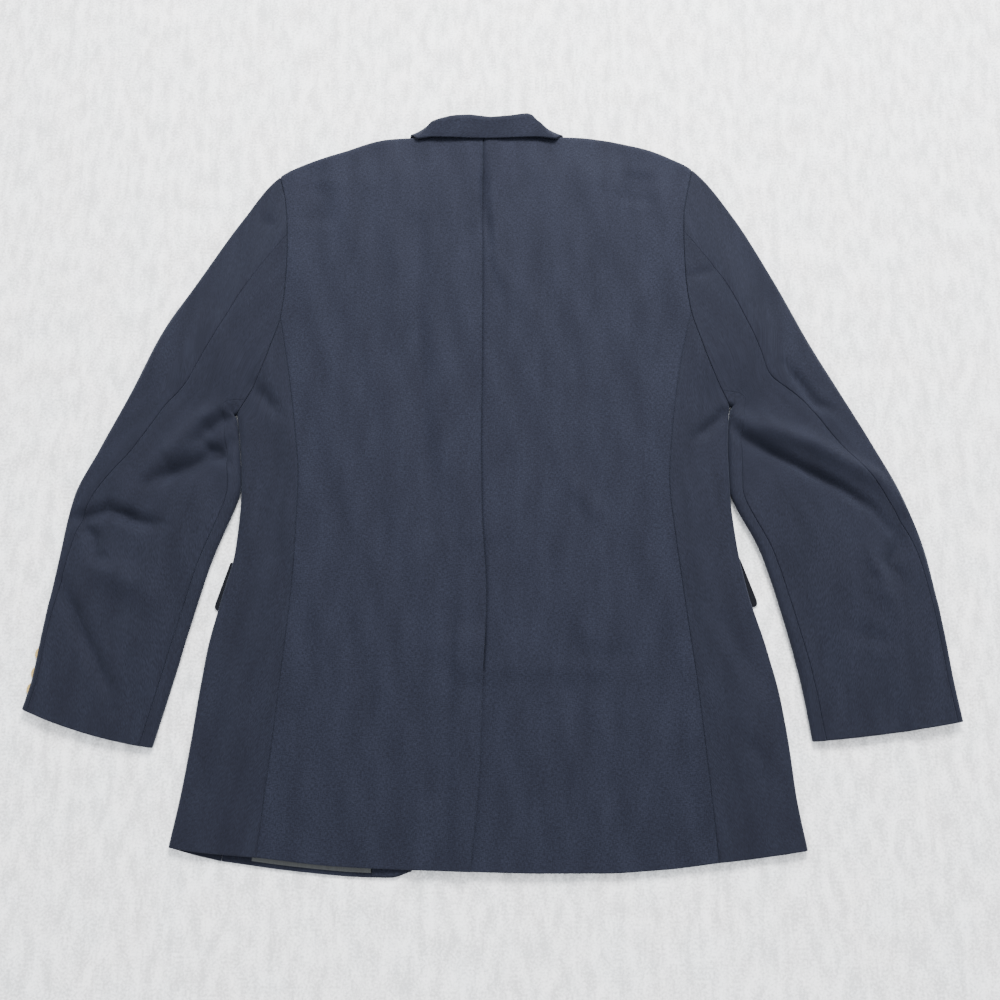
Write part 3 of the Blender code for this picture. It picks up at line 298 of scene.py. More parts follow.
COLLAR_PRESS = 0.55
COLLAR_TOP_RUN = 14.0  # its top edge is lifted fully this far above the neck
COLLAR_DRAWN = 7.0  # its ends are drawn in this far at the neck points
COLLAR_STRAIGHT = 45.0  # from this far out
COLLAR_DRAWN_RUN = 30.0  # over this distance
COLLAR_SIDES = 25.0  # and above this level

# How far up the picture the collar's folded top edge stands out, by its place across.
COLLAR_TOP = table(
    "x lift",
    [
        (-80, -1.0),
        (-62, 1.0),
        (-45, 3.0),
        (-30, 5.0),
        (-14, 5.5),
        (8, 2.5),
        (30, 4.5),
        (50, 8.0),
        (58, 7.0),
        (66, 2.0),
        (80, -2.0),
    ],
)

# Pocket flaps, by their corners: inner top, outer top, outer bottom, inner bottom.
FLAP = {
    "left": [(-116, 462), (-256, 478), (-271, 528), (-124, 521)],
    "right": [(124, 460), (264, 474), (281, 524), (132, 518)],
}
FLAP_ROUNDING = 9.0
FLAP_CORNER_POINTS = 9
FLAP_EDGE = 0.7  # how far its edges are rounded

# The vent: the right panel's underlap runs on past the centre under the left panel.
VENT_TOP = 565.0
VENT_UNDERLAP = 40.0
VENT_LIFT = LIFT + 1.0  # how far the underlap raises the left panel
VENT_DIP = 14.0  # the right panel dips under the left over this width
VENT_RUN = 30.0  # and over this length at the vent's top
VENT_STEEPER = 1.6  # the dip's inner side is steeper by this factor

# The left front's facing and lining, as strips along its hem: where they end across and up.
FACING = {
    "outer_x": -103.0,
    "inner_x": -70.0,
    "height": 40.0,
    "margin": 1.0,
    "cloth": FACING_CLOTH,
    "finish": "wool",
}
LINING = {
    "outer_x": -218.0,
    "inner_x": -103.4,
    "height": 24.0,
    "margin": 4.2,
    "cloth": LINING_CLOTH,
    "finish": "lining",
}

# The front buttons, which lie under the left front.
BUTTONS = table(
    "x down radius thickness",
    [(1.5, 436, 10, 2.6), (1.5, 536, 10, 2.6)],
)
CUFF_BUTTON_RADIUS = 7.2
CUFF_BUTTON_THICKNESS = 3.2
CUFF_BUTTON_SHARES = (0.840, 0.885, 0.930)  # along the sleeve
CUFF_BUTTON_IN = 4.6  # its centre, in from the sleeve's outer edge
CUFF_BUTTON_SHOWS = 2.7  # the left cuff's buttons stand out this far more, so that they just show
BUTTON_SIDES = 48

# A button's profile, in shares of its radius and thickness: the domed face, the rim and the hollow back.
BUTTON_PROFILE = table(
    "out up",
    [
        (0.0, 1.0),
        (0.30, 1.0),
        (0.55, 0.97),
        (0.78, 0.88),
        (0.92, 0.72),
        (0.985, 0.56),
        (1.0, 0.43),
        (0.985, 0.25),
        (0.94, 0.10),
        (0.88, 0.02),
        (0.82, 0.0),
        (0.76, 0.04),
        (0.72, 0.12),
        (0.60, 0.15),
        (0.30, 0.10),
        (0.0, 0.08),
    ],
)

# The folds of the upper layer: height (negative for a trough), width and the plan line that each follows.
FOLDS_OF_CLOTH = [
    # right sleeve: the fold that overhangs from the underarm, the trough below it, elbow and hindarm
    (8.4, 11, [(262, 326), (300, 340), (342, 356), (378, 376), (408, 394), (428, 414)]),
    (-9.0, 6, [(252, 320), (271, 345), (301, 364), (335, 383), (367, 400), (399, 423), (415, 444)]),
    (-5.9, 7, [(430, 436), (424, 462), (413, 480), (424, 500)]),
    (4.1, 9, [(384, 470), (402, 500), (412, 530)]),
    (-2.6, 10, [(370, 549), (390, 556), (410, 561)]),
    (-4.6, 6, [(388, 474), (391, 488), (398, 502)]),
    (-2.0, 6, [(221, 167), (235, 164), (250, 158)]),
    (-4.6, 6, [(320, 268), (338, 292), (350, 311), (366, 317)]),
    (3.0, 36, [(300, 190), (352, 300)]),
    (3.0, 34, [(365, 460), (395, 590)]),
    # left sleeve: the pit at the underarm, elbow dents and the long forearm trough
    (-7.3, 7, [(-290, 346), (-278, 332), (-263, 319)]),
    (-5.4, 6, [(-292, 352), (-276, 364), (-262, 374)]),
    (4.9, 9, [(-318, 356), (-296, 330), (-276, 314)]),
    (-8.1, 8, [(-343, 396), (-300, 378), (-258, 352)]),
    (4.9, 12, [(-330, 372), (-300, 352)]),
    (-4.3, 7, [(-371, 429), (-348, 437), (-326, 440)]),
    (-7.0, 7, [(-420, 432), (-403, 431), (-382, 424), (-364, 430), (-344, 440)]),
    (-6.2, 7, [(-410, 436), (-394, 454), (-390, 472), (-376, 480)]),
    (5.7, 14, [(-392, 478), (-362, 496), (-338, 512)]),
    (-6.8, 8, [(-423, 500), (-403, 540), (-383, 575), (-367, 604), (-362, 625)]),
    (-2.2, 7, [(-242, 94), (-227, 109)]),
    (3.0, 36, [(-292, 190), (-340, 300)]),
    (2.4, 28, [(-340, 530), (-372, 610)]),
    # back: shoulder hollows, the tuck beside the centre seam and the long soft fold
    (-4.6, 20, [(-177, 47), (-182, 115)]),
    (-5.4, 19, [(176, 35), (170, 88)]),
    (-5.7, 5, [(0, 26), (2, 80), (8, 132)]),
    (3.0, 8, [(9, 96), (15, 146), (30, 194)]),
    (-4.6, 13, [(-71, 105), (-69, 214), (-63, 308), (-58, 381), (-49, 440)]),
    (2.2, 12, [(-92, 120), (-90, 240)]),
    (-2.1, 8, [(-17, 96), (-16, 150)]),
    (-3.2, 10, [(-34, 531), (-24, 585), (-18, 639), (-10, 693)]),
    (-2.5, 10, [(12, 643), (28, 693), (41, 728), (60, 764)]),
    (-2.5, 10, [(81, 588), (94, 630), (113, 677), (127, 709)]),
    (-2.1, 9, [(191, 555), (195, 630), (199, 693), (206, 749)]),
    (-2.2, 9, [(229, 521), (254, 561), (277, 604)]),
    (-2.2, 9, [(252, 649), (277, 677), (278, 712)]),
    (2.5, 10, [(91, 391), (114, 423), (128, 440)]),
    (-4.6, 6, [(256, 321), (240, 333), (223, 348)]),
    (-4.1, 7, [(-238, 291), (-213, 322)]),
    (-2.0, 9, [(-255, 560), (-262, 640), (-268, 700)]),
]
CREASE_CLEAR = 4.5  # a fold fades out this near a folded edge
FOLD_FADE = 0.3  # and over this share of its length at each end
FOLD_END = 0.35  # down to this share of its height

# The cloth's slight unevenness: height, wavelength across and along, and where each wave starts.
WAVES = [
    (0.45, 83, 170, 0.4),
    (0.40, 57, -240, 1.9),
    (0.30, -39, 95, 3.1),
    (0.16, 27, 61, 5.0),
]


# ---- lines and plan areas


def slopes_at(knots, values):
    """A slope at each knot that lets a curve pass without a corner and without swinging past its values."""
    steps = np.diff(knots).reshape((-1,) + (1,) * (values.ndim - 1))
    rates = np.diff(values, axis=0) / steps
    same = rates[:-1] * rates[1:] > 0
    total = np.where(same, rates[:-1] + rates[1:], 1.0)
    inner = np.where(same, 2 * rates[:-1] * rates[1:] / total, 0.0)
    return np.concatenate([rates[:1], inner, rates[-1:]])


def hermite(at, knots, values, slopes):
    """A smooth curve through the values at the knots, read at any place and straight beyond its ends."""
    at = np.asarray(at, float)
    past = at - np.clip(at, knots[0], knots[-1])
    end = np.where(past < 0, 0, len(knots) - 1)
    at = at - past
    i = np.clip(np.searchsorted(knots, at, side="right") - 1, 0, len(knots) - 2)
    step = knots[i + 1] - knots[i]
    t = (at - knots[i]) / step
    if values.ndim > 1:
        t, step, past = t[..., None], step[..., None], past[..., None]
    return (
        past * slopes[end]
        + (2 * t**3 - 3 * t**2 + 1) * values[i]
        + (t**3 - 2 * t**2 + t) * step * slopes[i]
        + (3 * t**2 - 2 * t**3) * values[i + 1]
        + (t**3 - t**2) * step * slopes[i + 1]
    )


def read(columns, name, at, by="down"):
    """A column of a table at any level."""
    return hermite(at, columns[by], columns[name], slopes_at(columns[by], columns[name]))


def ramp(value):
    """Runs smoothly from 0 to 1."""
    value = np.clip(value, 0.0, 1.0)
    return value * value * (3 - 2 * value)


class Line:
    """A smooth line through plan points, read by the share of the way along it."""

    def __init__(self, points, even=False):
        self.points = np.array(points, float)
        steps = np.linalg.norm(np.diff(self.points, axis=0), axis=1)
        self.length = float(steps.sum())
        by_length = np.concatenate([[0.0], np.cumsum(steps)]) / self.length
        self.knots = np.linspace(0, 1, len(points)) if even else by_length
        self.slopes = slopes_at(self.knots, self.points)

    def __call__(self, share):
        return hermite(share, self.knots, self.points, self.slopes)

    def sampled(self, count=24):
        return self(np.linspace(0, 1, count))


def stretch(line, start, end):
    """A stretch of a line, read by the share of that stretch."""
    return lambda share: line(start + (end - start) * np.asarray(share, float))


def joined(first, second, at):
    """Two lines read as one: the first up to the share at, and the second from there."""

    def line(share):
        share = np.asarray(share, float)
        low = first(np.minimum(share, at) / at)
        high = second((np.maximum(share, at) - at) / (1 - at))
        return np.where((share < at)[..., None], low, high)

    return line


def patch(inner, outer, top, bottom):
    """A four-sided plan area between four lines, read by its shares across and down."""

    def point(across, down):
        s, t = np.broadcast_arrays(np.asarray(across, float), np.asarray(down, float))
        s, t = s[..., None], t[..., None]
        corners = (1 - s) * (1 - t) * top(0.0) + s * (1 - t) * top(1.0)
        corners = corners + (1 - s) * t * bottom(0.0) + s * t * bottom(1.0)
        sides = (1 - s) * inner(t[..., 0]) + s * outer(t[..., 0])
        return sides + (1 - t) * top(s[..., 0]) + t * bottom(s[..., 0]) - corners

    return point


def along_chain(plan, chain):
    """Distance from each plan point to a chain of points, and the share along it of the nearest place."""
    chain = np.array(chain, float)
    lengths = np.linalg.norm(np.diff(chain, axis=0), axis=1)
    starts = np.concatenate([[0.0], np.cumsum(lengths)])
    nearest = np.full(plan.shape[:-1], np.inf)
    share = np.zeros(plan.shape[:-1])
    for i, (start, end) in enumerate(zip(chain[:-1], chain[1:])):
        run = end - start
        t = np.clip(((plan - start) @ run) / max(run @ run, 1e-9), 0, 1)
        gap = np.linalg.norm(plan - start - t[..., None] * run, axis=-1)
        closer = gap < nearest
        nearest = np.where(closer, gap, nearest)
        share = np.where(closer, (starts[i] + t * lengths[i]) / starts[-1], share)
    return nearest, share


def distance_to(plan, chain):
    """Distance from each plan point to a chain of points."""
    return along_chain(plan, chain)[0]


def outside(plan, outline):
    """Distance from each plan point to an area, 0 inside it."""
    closed = np.vstack([outline, outline[:1]])
    within = np.zeros(plan.shape[:-1], bool)
    for (x0, y0), (x1, y1) in zip(closed[:-1], closed[1:]):
        rise = y1 - y0 if abs(y1 - y0) > 1e-9 else 1e-9
        crosses = (y0 > plan[..., 1]) != (y1 > plan[..., 1])
        within ^= crosses & (plan[..., 0] < (x1 - x0) * (plan[..., 1] - y0) / rise + x0)
    return np.where(within, 0.0, distance_to(plan, closed))


# ---- the garment's own lines


def radius_at(down):
    return read(LAY, "radius", down)


def armhole_line(side):
    top, bottom = ARMHOLE_DEPTH[side]
    downs = top + (bottom - top) * ARMHOLE["share"]
    return Line(np.column_stack([ARMHOLE[side + "_x"], downs]))


def sleeve_edge(side, edge):
    rows = SLEEVE[side]
    return Line(np.column_stack([rows[edge + "_x"], rows[edge + "_down"]]), even=True)


def body_line(column, start, end, count=10):
    """A line of the body between two points, following a column of the body's table."""
    downs = np.linspace(start[1], end[1], count)
    xs = read(BODY, column, downs)
    return Line(np.column_stack([xs + np.linspace(start[0] - xs[0], end[0] - xs[-1], count), downs]))


def turn_over(arc, radius):
    """A place on a round fold: how far in from its edge, and 0 at the edge to 1 on the flat."""
    angle = np.clip(arc / radius, -TURN, TURN)
    past = np.maximum(np.abs(arc) - radius * TURN, 0.0)
    return radius * (1 - np.cos(angle)) + past, np.sin(angle)


def flat_to_arc(inward, radius):
    """The arc from a fold's edge to a place on the flat."""
    return inward + radius * (TURN - 1)


HOLES = {side: armhole_line(side) for side in SIDES}
OUTER_FOLDS = {side: sleeve_edge(side, "outer") for side in SIDES}
INNER_FOLDS = {side: sleeve_edge(side, "inner") for side in SIDES}
SHOULDER_RADIUS = {side: float(radius_at(ARMHOLE_DEPTH[side][0])) for side in SIDES}
UNDERARM_RADIUS = {side: float(radius_at(ARMHOLE_DEPTH[side][1])) for side in SIDES}


def quarter(radius):
    return [radius * TURN * i / TURN_STEPS for i in range(TURN_STEPS + 1)]


def even_steps(start, end, count):
    """Even steps from start to end, without the start."""
    return [start + (end - start) * i / count for i in range(1, count + 1)]


def hole_stations(side):
    """The places round an armhole that all its pieces share: arcs over the upper and the lower layer."""
    out, under = SHOULDER_RADIUS[side], UNDERARM_RADIUS[side]
    full = HOLES[side].length + (out + under) * (TURN - 1)
    hindarm = flat_to_arc(SLEEVE[side]["hindarm"][0], out)
    inseam = full - flat_to_arc(SLEEVE[side]["inseam"][0], under)
    back = quarter(out) + even_steps(out * TURN, hindarm, BACK_HOLE_STEPS)
    under_sleeve = [hindarm] + even_steps(hindarm, inseam, UNDER_SLEEVE_STEPS)
    lower = [full - arc for arc in quarter(under)]
    lower += even_steps(full - under * TURN, out * TURN, LOWER_STEPS) + quarter(out)[-2::-1]
    return {"full": full, "back": back, "under": under_sleeve, "lower": lower}


STATIONS = {side: hole_stations(side) for side in SIDES}


def hole_share(side, arc):
    """The share along the armhole of an arc from its shoulder fold."""
    full, length = STATIONS[side]["full"], HOLES[side].length
    near, far = turn_over(arc, SHOULDER_RADIUS[side])[0], turn_over(full - arc, UNDERARM_RADIUS[side])[0]
    return np.where(np.asarray(arc) < full / 2, near / length, 1 - far / length)


BACK_SHARE = {s: float(hole_share(s, STATIONS[s]["under"][SEAM_STATION])) for s in SIDES}
FRONT_SHARE = {s: float(hole_share(s, STATIONS[s]["lower"][TURN_STEPS + 1])) for s in SIDES}
BACK_SEAMS = {
    s: body_line(s + "_back_seam", HOLES[s](BACK_SHARE[s]), BACK_HEM[s][-1]) for s in SIDES
}
FRONT_SEAMS = {
    s: body_line(s + "_front_seam", HOLES[s](FRONT_SHARE[s]), FRONT_HEM[s][-1]) for s in SIDES
}
BODY_EDGES = {s: body_line(s + "_edge", HOLES[s](1.0), SIDE_HEM[s][-1]) for s in SIDES}
CENTRE = body_line("centre", NECK_SEAM["left"][0], BACK_HEM["left"][0])
TOPS = {s: Line(NECK_SEAM[s] + SHOULDER[s][1:]) for s in SIDES}
SHOULDERS = {s: Line(SHOULDER[s]) for s in SIDES}
for one, other in ((TOPS[s], OUTER_FOLDS[s]) for s in SIDES):
    aim = one.slopes[-1] / np.linalg.norm(one.slopes[-1]) + other.slopes[0] / np.linalg.norm(other.slopes[0])
    aim /= np.linalg.norm(aim)
    one.slopes[-1] = aim * np.linalg.norm(one.slopes[-1])
    other.slopes[0] = aim * np.linalg.norm(other.slopes[0])
NECK_POINT_SHARE = {s: float(TOPS[s].knots[len(NECK_SEAM[s]) - 1]) for s in SIDES}
ROLLS = {s: Line(ROLL_LINE[s]) for s in SIDES}
LAPEL_EDGES = {s: Line(LAPEL_EDGE[s]) for s in SIDES}
FRONT_EDGES = {s: Line(FRONT_EDGE[s]) for s in SIDES}
FOLDS = [line[s].sampled(40) for s in SIDES for line in (SHOULDERS, OUTER_FOLDS, INNER_FOLDS, BODY_EDGES)]


def lapel_area(side):
    return np.vstack([ROLLS[side].sampled(), LAPEL_EDGES[side].sampled()[::-1]])


def collar_area(side):
    """The collar's fall where it lies under the front."""
    out = COLLAR_MIDDLE + OUTWARD[side] * np.array([COLLAR["roll_out"], COLLAR["leaf_out"]])
    down = np.array([COLLAR["roll_down"], COLLAR["leaf_down"]])
    roll, leaf = np.stack([out, down], axis=-1)[:, COLLAR_UNDER:]
    return np.vstack([roll, leaf[::-1]])


def front_area(side):
    back_up = (FRONT_SEAMS[side], HOLES[side], SHOULDERS[side])
    there = [FRONT_EDGES[side].sampled(60), Line(FRONT_HEM[side]).sampled()]
    return np.vstack(there + [line.sampled()[::-1] for line in back_up])


COVERS = {
    s: [(lapel_area(s), LIFT), (collar_area(s), COLLAR_LIFT), (np.array(FLAP[s], float), LIFT)]
    for s in SIDES
}
LEFT_FRONT = front_area("left")


def cuff_button_places(side):
    """The plan centres of one sleeve's buttons, along its outer edge."""
    shares = np.array(CUFF_BUTTON_SHARES)
    outer = OUTER_FOLDS[side](shares)
    inward = INNER_FOLDS[side](shares) - outer
    return outer + inward / np.linalg.norm(inward, axis=1)[:, None] * CUFF_BUTTON_IN


CUFF_BUTTONS = {s: cuff_button_places(s) for s in SIDES}


# ---- how high the cloth lies


def under_cover(plan, side):
    """How far the lower layer is raised by what lies under it: lapel, collar, flap and buttons."""
    raised = np.zeros(plan.shape[:-1])
    for area, lift in COVERS[side]:
        raised = np.maximum(raised, lift * ramp(1 - (outside(plan, area) - COVER_MARGIN) / COVER_RUN))
    discs = [(p, CUFF_BUTTON_RADIUS, CUFF_BUTTON_THICKNESS) for p in CUFF_BUTTONS[side]]
    if side == "left":
        discs += [((x, down), radius, thick) for x, down, radius, thick in zip(*BUTTONS.values())]
    for place_at, radius, thickness in discs:
        gap = np.linalg.norm(plan - place_at, axis=-1) - radius - COVER_MARGIN
        raised = np.maximum(raised, (thickness + LAYER_GAP) * ramp(1 - gap / COVER_RUN))
    return raised


def over_left(plan):
    """How far the right front and its lapel are raised where they lie over the left front."""
    gap = np.minimum(outside(plan, LEFT_FRONT), outside(plan, COVERS["left"][0][0])) - OVERLAP_MARGIN
    below_neck = ramp((plan[..., 1] - BELOW_NECK[0]) / BELOW_NECK[1])
    left = np.stack([np.minimum(plan[..., 0], 0.0), plan[..., 1]], axis=-1)
    return below_neck * ramp(1 - gap / OVERLAP_RUN) * (under_cover(left, "left") + LIFT + OVERLAP_AIR)


def lower_height(plan, side):
    """The outer face of the lower layer above the ground."""
    raised = under_cover(plan, side)
    return raised + over_left(plan) * RIGHT_FRONT_AIR if side == "right" else raised


def stack(plan):
    """The top of the lower layer, which the upper layer must clear."""
    in_left = ramp(1 - outside(plan, LEFT_FRONT) / COVER_RUN)
    x, down = plan[..., 0], plan[..., 1]
    edging = ramp((down - EDGING_FROM[1]) / STACK_RUN) * ramp((EDGING_FROM[0] - x) / STACK_RUN)
    left = in_left * (under_cover(plan, "left") + CLOTH + (FACING_CLOTH + LAYER_GAP) * edging)
    right = (lower_height(plan, "right") + CLOTH) * ramp((x - RIGHT_FROM) / STACK_RUN)
    return np.maximum(left, right)


def in_vent(plan):
    """1 where the vent's underlap lies under the left panel, and 0 well away from it."""
    centre = read(BODY, "centre", plan[..., 1])
    across = ramp((plan[..., 0] - centre + VENT_UNDERLAP + 2 * VENT_DIP) / VENT_DIP)
    across = across * ramp((centre + VENT_DIP - plan[..., 0]) / VENT_DIP * VENT_STEEPER)
    return across * ramp((plan[..., 1] - VENT_TOP + VENT_RUN) / VENT_RUN)


def smooth_most(first, second):
    """The larger of two heights, with a soft change from one to the other."""
    return (first + second + np.sqrt((first - second) ** 2 + SOFT_STEP**2)) / 2


def creases(plan):
    """The sum of the folds and of the cloth's slight unevenness."""
    total = np.zeros(plan.shape[:-1])
    for height, width, chain in FOLDS_OF_CLOTH:
        gap, share = along_chain(plan, chain)
        fade = FOLD_END + (1 - FOLD_END) * ramp(np.minimum(share, 1 - share) / FOLD_FADE)
        total += height * fade * np.exp(-((gap / width) ** 2))
    for height, across, along, start in WAVES:
        total += height * np.sin(2 * math.pi * (plan[..., 0] / across + plan[..., 1] / along) + start)
    return total


def upper_height(plan):
    """How much the upper layer stands above the round of its folds."""
    gap = np.min([distance_to(plan, fold) for fold in FOLDS], axis=0)
    return read(LAY, "loft", plan[..., 1]) * ramp(gap / LOFT_RUN) + creases(plan) * ramp(gap / CREASE_CLEAR)


def layer(plan, factor, side):
    """The height of a place: factor is 1 on the upper layer, -1 on the lower one and 0 at a fold's edge."""
    bottom = lower_height(plan, side)
    off_centre = ramp((np.abs(plan[..., 0]) - OFF_CENTRE[0]) / OFF_CENTRE[1])
    top = np.maximum(2 * radius_at(plan[..., 1]), under_cover(plan, side) * off_centre + LEAST_FOLD)
    height = (top + bottom) / 2 + (top - bottom) / 2 * factor
    upper = np.maximum(factor, 0.0)
    least = stack(plan) + CLOTH + AIR + VENT_LIFT * in_vent(plan) - FOLD_DROP * (1 - upper)
    clear = smooth_most(height + upper_height(plan) * upper, least)
    return np.where(factor > 0, height + (clear - height) * ramp(factor / FOLD_CLEAR), height)


def to_world(plan, height):
    return np.stack([plan[..., 0] - MIDDLE_X, MIDDLE_DOWN - plan[..., 1], height], axis=-1)


# ---- surfaces of the pieces, each read by a row and a column


def sleeve_surface(side):
    """The sleeve's tube: rows by the share from armhole to cuff, columns by the arc round it.

    The arc starts at the outer fold, runs over the upper layer to the inner fold at full, and back over the
    lower layer to the outer fold at twice full.
    """
    outer, inner, hole = OUTER_FOLDS[side], INNER_FOLDS[side], HOLES[side]
    chord = hole(1.0) - hole(0.0)
    extra = hole.length - np.linalg.norm(chord)

    def measures(share):
        start, end = outer(share), inner(share)
        fade = ramp(1 - share / HOLE_FADE)
        width = np.linalg.norm(end - start, axis=-1) + extra * fade
        radii = radius_at(start[..., 1]), radius_at(end[..., 1])
        return start, end, fade, width, radii, width + sum(radii) * (TURN - 1)

    def surface(share, arc):
        start, end, fade, width, (radius_out, radius_in), length = measures(share)
        arc = np.where(arc > 2 * length - length / 2, arc - 2 * length, arc)
        near_in, near_level = turn_over(arc, radius_out)
        far_in, far_level = turn_over(length - arc, radius_in)
        near = arc < length / 2
        across = np.where(near, near_in / width, 1 - far_in / width)
        level = np.where(near, near_level, far_level)
        s = across[..., None]
        bend = hole(across) - (1 - s) * hole(0.0) - s * hole(1.0)
        plan = (1 - s) * start + s * end + bend * fade[..., None]
        bow = 4 * across * (1 - across) * CUFF_BOW[side] * ramp(share * 3 - 2)
        plan = plan + np.stack([0 * bow + OUTWARD[side] * SEAM_GAP, bow], axis=-1)
        return to_world(plan, layer(plan, level, side))

    return surface, lambda share: measures(share)[-1]


def sleeve_stations(side, share, full, name):
    """The arcs of the columns of one sleeve piece in a row."""
    rows = SLEEVE[side]
    radius_out = float(radius_at(OUTER_FOLDS[side](share)[1]))
    radius_in = float(radius_at(INNER_FOLDS[side](share)[1]))
    knots = np.linspace(0, 1, len(rows["hindarm"]))
    widths = [
        float(hermite(share, knots, rows[seam], slopes_at(knots, rows[seam])))
        for seam in ("hindarm", "inseam")
    ]
    hindarm = flat_to_arc(widths[0], radius_out)
    inseam = full - flat_to_arc(widths[1], radius_in)
    if name == "under":
        return np.array([hindarm] + even_steps(hindarm, inseam, UNDER_SLEEVE_STEPS))
    near = np.array(quarter(radius_out) + even_steps(radius_out * TURN, hindarm, BACK_HOLE_STEPS))
    evened = np.linspace(0, hindarm, len(near))
    near = near + (evened - near) * ramp(share / EVENED_BY)
    arcs = [inseam] + [full - arc for arc in quarter(radius_in)[::-1]]
    arcs += [full + arc for arc in quarter(radius_in)[1:]]
    arcs += even_steps(full + radius_in * TURN, 2 * full - radius_out * TURN, LOWER_STEPS)
    arcs += [2 * full - arc for arc in quarter(radius_out)[-2::-1]]
    return np.array(arcs + [2 * full + arc for arc in near[1:]])


def back_surface(side):
    """A back panel: rows by the arc from the shoulder fold, columns by the share out from the centre."""
    hole, seam, top = HOLES[side], BACK_SEAMS[side], TOPS[side]
    drop = hole.length * BACK_SHARE[side]
    total = drop + seam.length
    outer = joined(stretch(hole, 0, BACK_SHARE[side]), seam, drop / total)
    area = patch(CENTRE, outer, top, Line(BACK_HEM[side]))
    radius = SHOULDER_RADIUS[side]

    def surface(arc, across):
        inward, level = turn_over(arc, radius)
        neck = ramp((NECK_POINT_SHARE[side] - across) * top.length / NECK_RUN)
        straight = np.where(arc < radius * TURN, arc / TURN, inward)
        inward = inward + (straight - inward) * neck
        plan = area(across, inward / total)
        height = layer(plan, level + (1 - level) * neck, side)
        if side == "right":
            height = height - VENT_LIFT * in_vent(plan)
        return to_world(plan, height)

    return surface, drop, seam.length


def side_surface(side):
    """A side panel: rows by the share down, columns by the arc from the fold, upper layer positive."""
    hole = HOLES[side]

    def fold(down):
        return BODY_EDGES[side](read(FAN, "side_fold", down, by="back_seam"))

    def front_seam(down):
        return FRONT_SEAMS[side](read(FAN, "front_seam", down, by="back_seam"))

    upper = patch(BACK_SEAMS[side], fold, stretch(hole, BACK_SHARE[side], 1), Line(SIDE_HEM[side]))
    hem_under = Line(SIDE_HEM_UNDER[side][::-1])
    lower = patch(front_seam, fold, stretch(hole, FRONT_SHARE[side], 1), hem_under)
    share = {1: BACK_SHARE[side], -1: FRONT_SHARE[side]}
    seams = {1: BACK_SEAMS[side], -1: front_seam}

    def width(down, layer_sign):
        line = seams[layer_sign]
        top = hole.length * (1 - share[layer_sign])
        extra = top - np.linalg.norm(fold(0.0) - line(0.0))
        return np.linalg.norm(fold(down) - line(down), axis=-1) + extra * ramp(1 - down / HOLE_FADE)

    def surface(down, arc):
        radius = radius_at(fold(down)[..., 1])
        inward, level = turn_over(arc, radius)
        plan_upper = upper(1 - inward / width(down, 1), down)
        plan_lower = lower(1 - inward / width(down, -1), down)
        plan = np.where((arc >= 0)[..., None], plan_upper, plan_lower)
        return to_world(plan, layer(plan, level, side))

    return surface, width, fold


def front_surface(side):
    """A front: rows by the arc from the shoulder fold, columns by the share out from its front edge."""
    hole, seam = HOLES[side], FRONT_SEAMS[side]
    drop = hole.length * FRONT_SHARE[side]
    total = drop + seam.length
    outer = joined(stretch(hole, 0, FRONT_SHARE[side]), seam, drop / total)
    top = stretch(TOPS[side], NECK_POINT_SHARE[side], 1)
    area = patch(FRONT_EDGES[side], outer, top, Line(FRONT_HEM[side]))
    radius = SHOULDER_RADIUS[side]

    def surface(arc, across):
        inward, level = turn_over(arc, radius)
        plan = area(across, inward / total)
        return to_world(plan, layer(plan, -level, side))

    return surface


def front_rows(side):
    """The rows of a front: the armhole's stations, and on down the side-front seam."""
    drop = HOLES[side].length * FRONT_SHARE[side]
    downs = np.linspace(0, 1, PANEL_ROWS + 1)[1:]
    inward = drop + FRONT_SEAMS[side].length * read(FAN, "front_seam", downs, by="back_seam")
    stations = STATIONS[side]["lower"][TURN_STEPS + 1 :][::-1]
    rows = np.array(stations + list(flat_to_arc(inward, SHOULDER_RADIUS[side])))
    rows[0] = SEAM_GAP
    return rows


def fold_section(start, tip, end, turn, steps, depth=0.0):
    """A folded strip's section: from start up to a round turn at the tip, and on to the end.

    A depth gives the same section that far inside the strip's cloth.
    """
    along = tip - (start + end) / 2
    along /= np.linalg.norm(along)
    aside = end - start
    aside = aside - (aside @ along) * along
    aside /= np.linalg.norm(aside)
    centre = tip - along * turn
    turn = turn - depth
    start = start + aside * depth
    end = end - aside * depth
    first = centre - aside * turn
    points = [start + (first - start) * i / steps[0] for i in range(steps[0])]
    for i in range(steps[1] + 1):
        angle = math.pi * i / steps[1]
        points.append(centre + turn * (along * math.sin(angle) - aside * math.cos(angle)))
    last = points[-1]
    points += [last + (end - last) * i / steps[2] for i in range(1, steps[2] + 1)]
    return np.array(points)


def collar_surface():
    """The collar: a row for each place round the neck, columns by the steps of its folded section."""
    count = len(COLLAR["turn"])
    knots = np.arange(-(count - 1), count, dtype=float)

    def both(name, sign=1):
        """A column of the collar's table, mirrored to the left and on to the right."""
        return np.concatenate([sign * COLLAR[name][:0:-1], COLLAR[name]])

    lines = [both("turn")]
    for name in ("seam", "roll", "leaf"):
        plan = np.column_stack([COLLAR_MIDDLE + both(name + "_out", -1), both(name + "_down")])
        lines.append(to_world(plan, both(name + "_up")))
    slopes = [slopes_at(knots, line) for line in lines]

    def surface(around, depth=0.0):
        points = []
        for u in around:
            turn, *ends = (hermite(u, knots, *line) for line in zip(lines, slopes))
            points.append(fold_section(*ends, turn, COLLAR_STEPS, depth))
        return np.array(points)

    return surface, count - 1


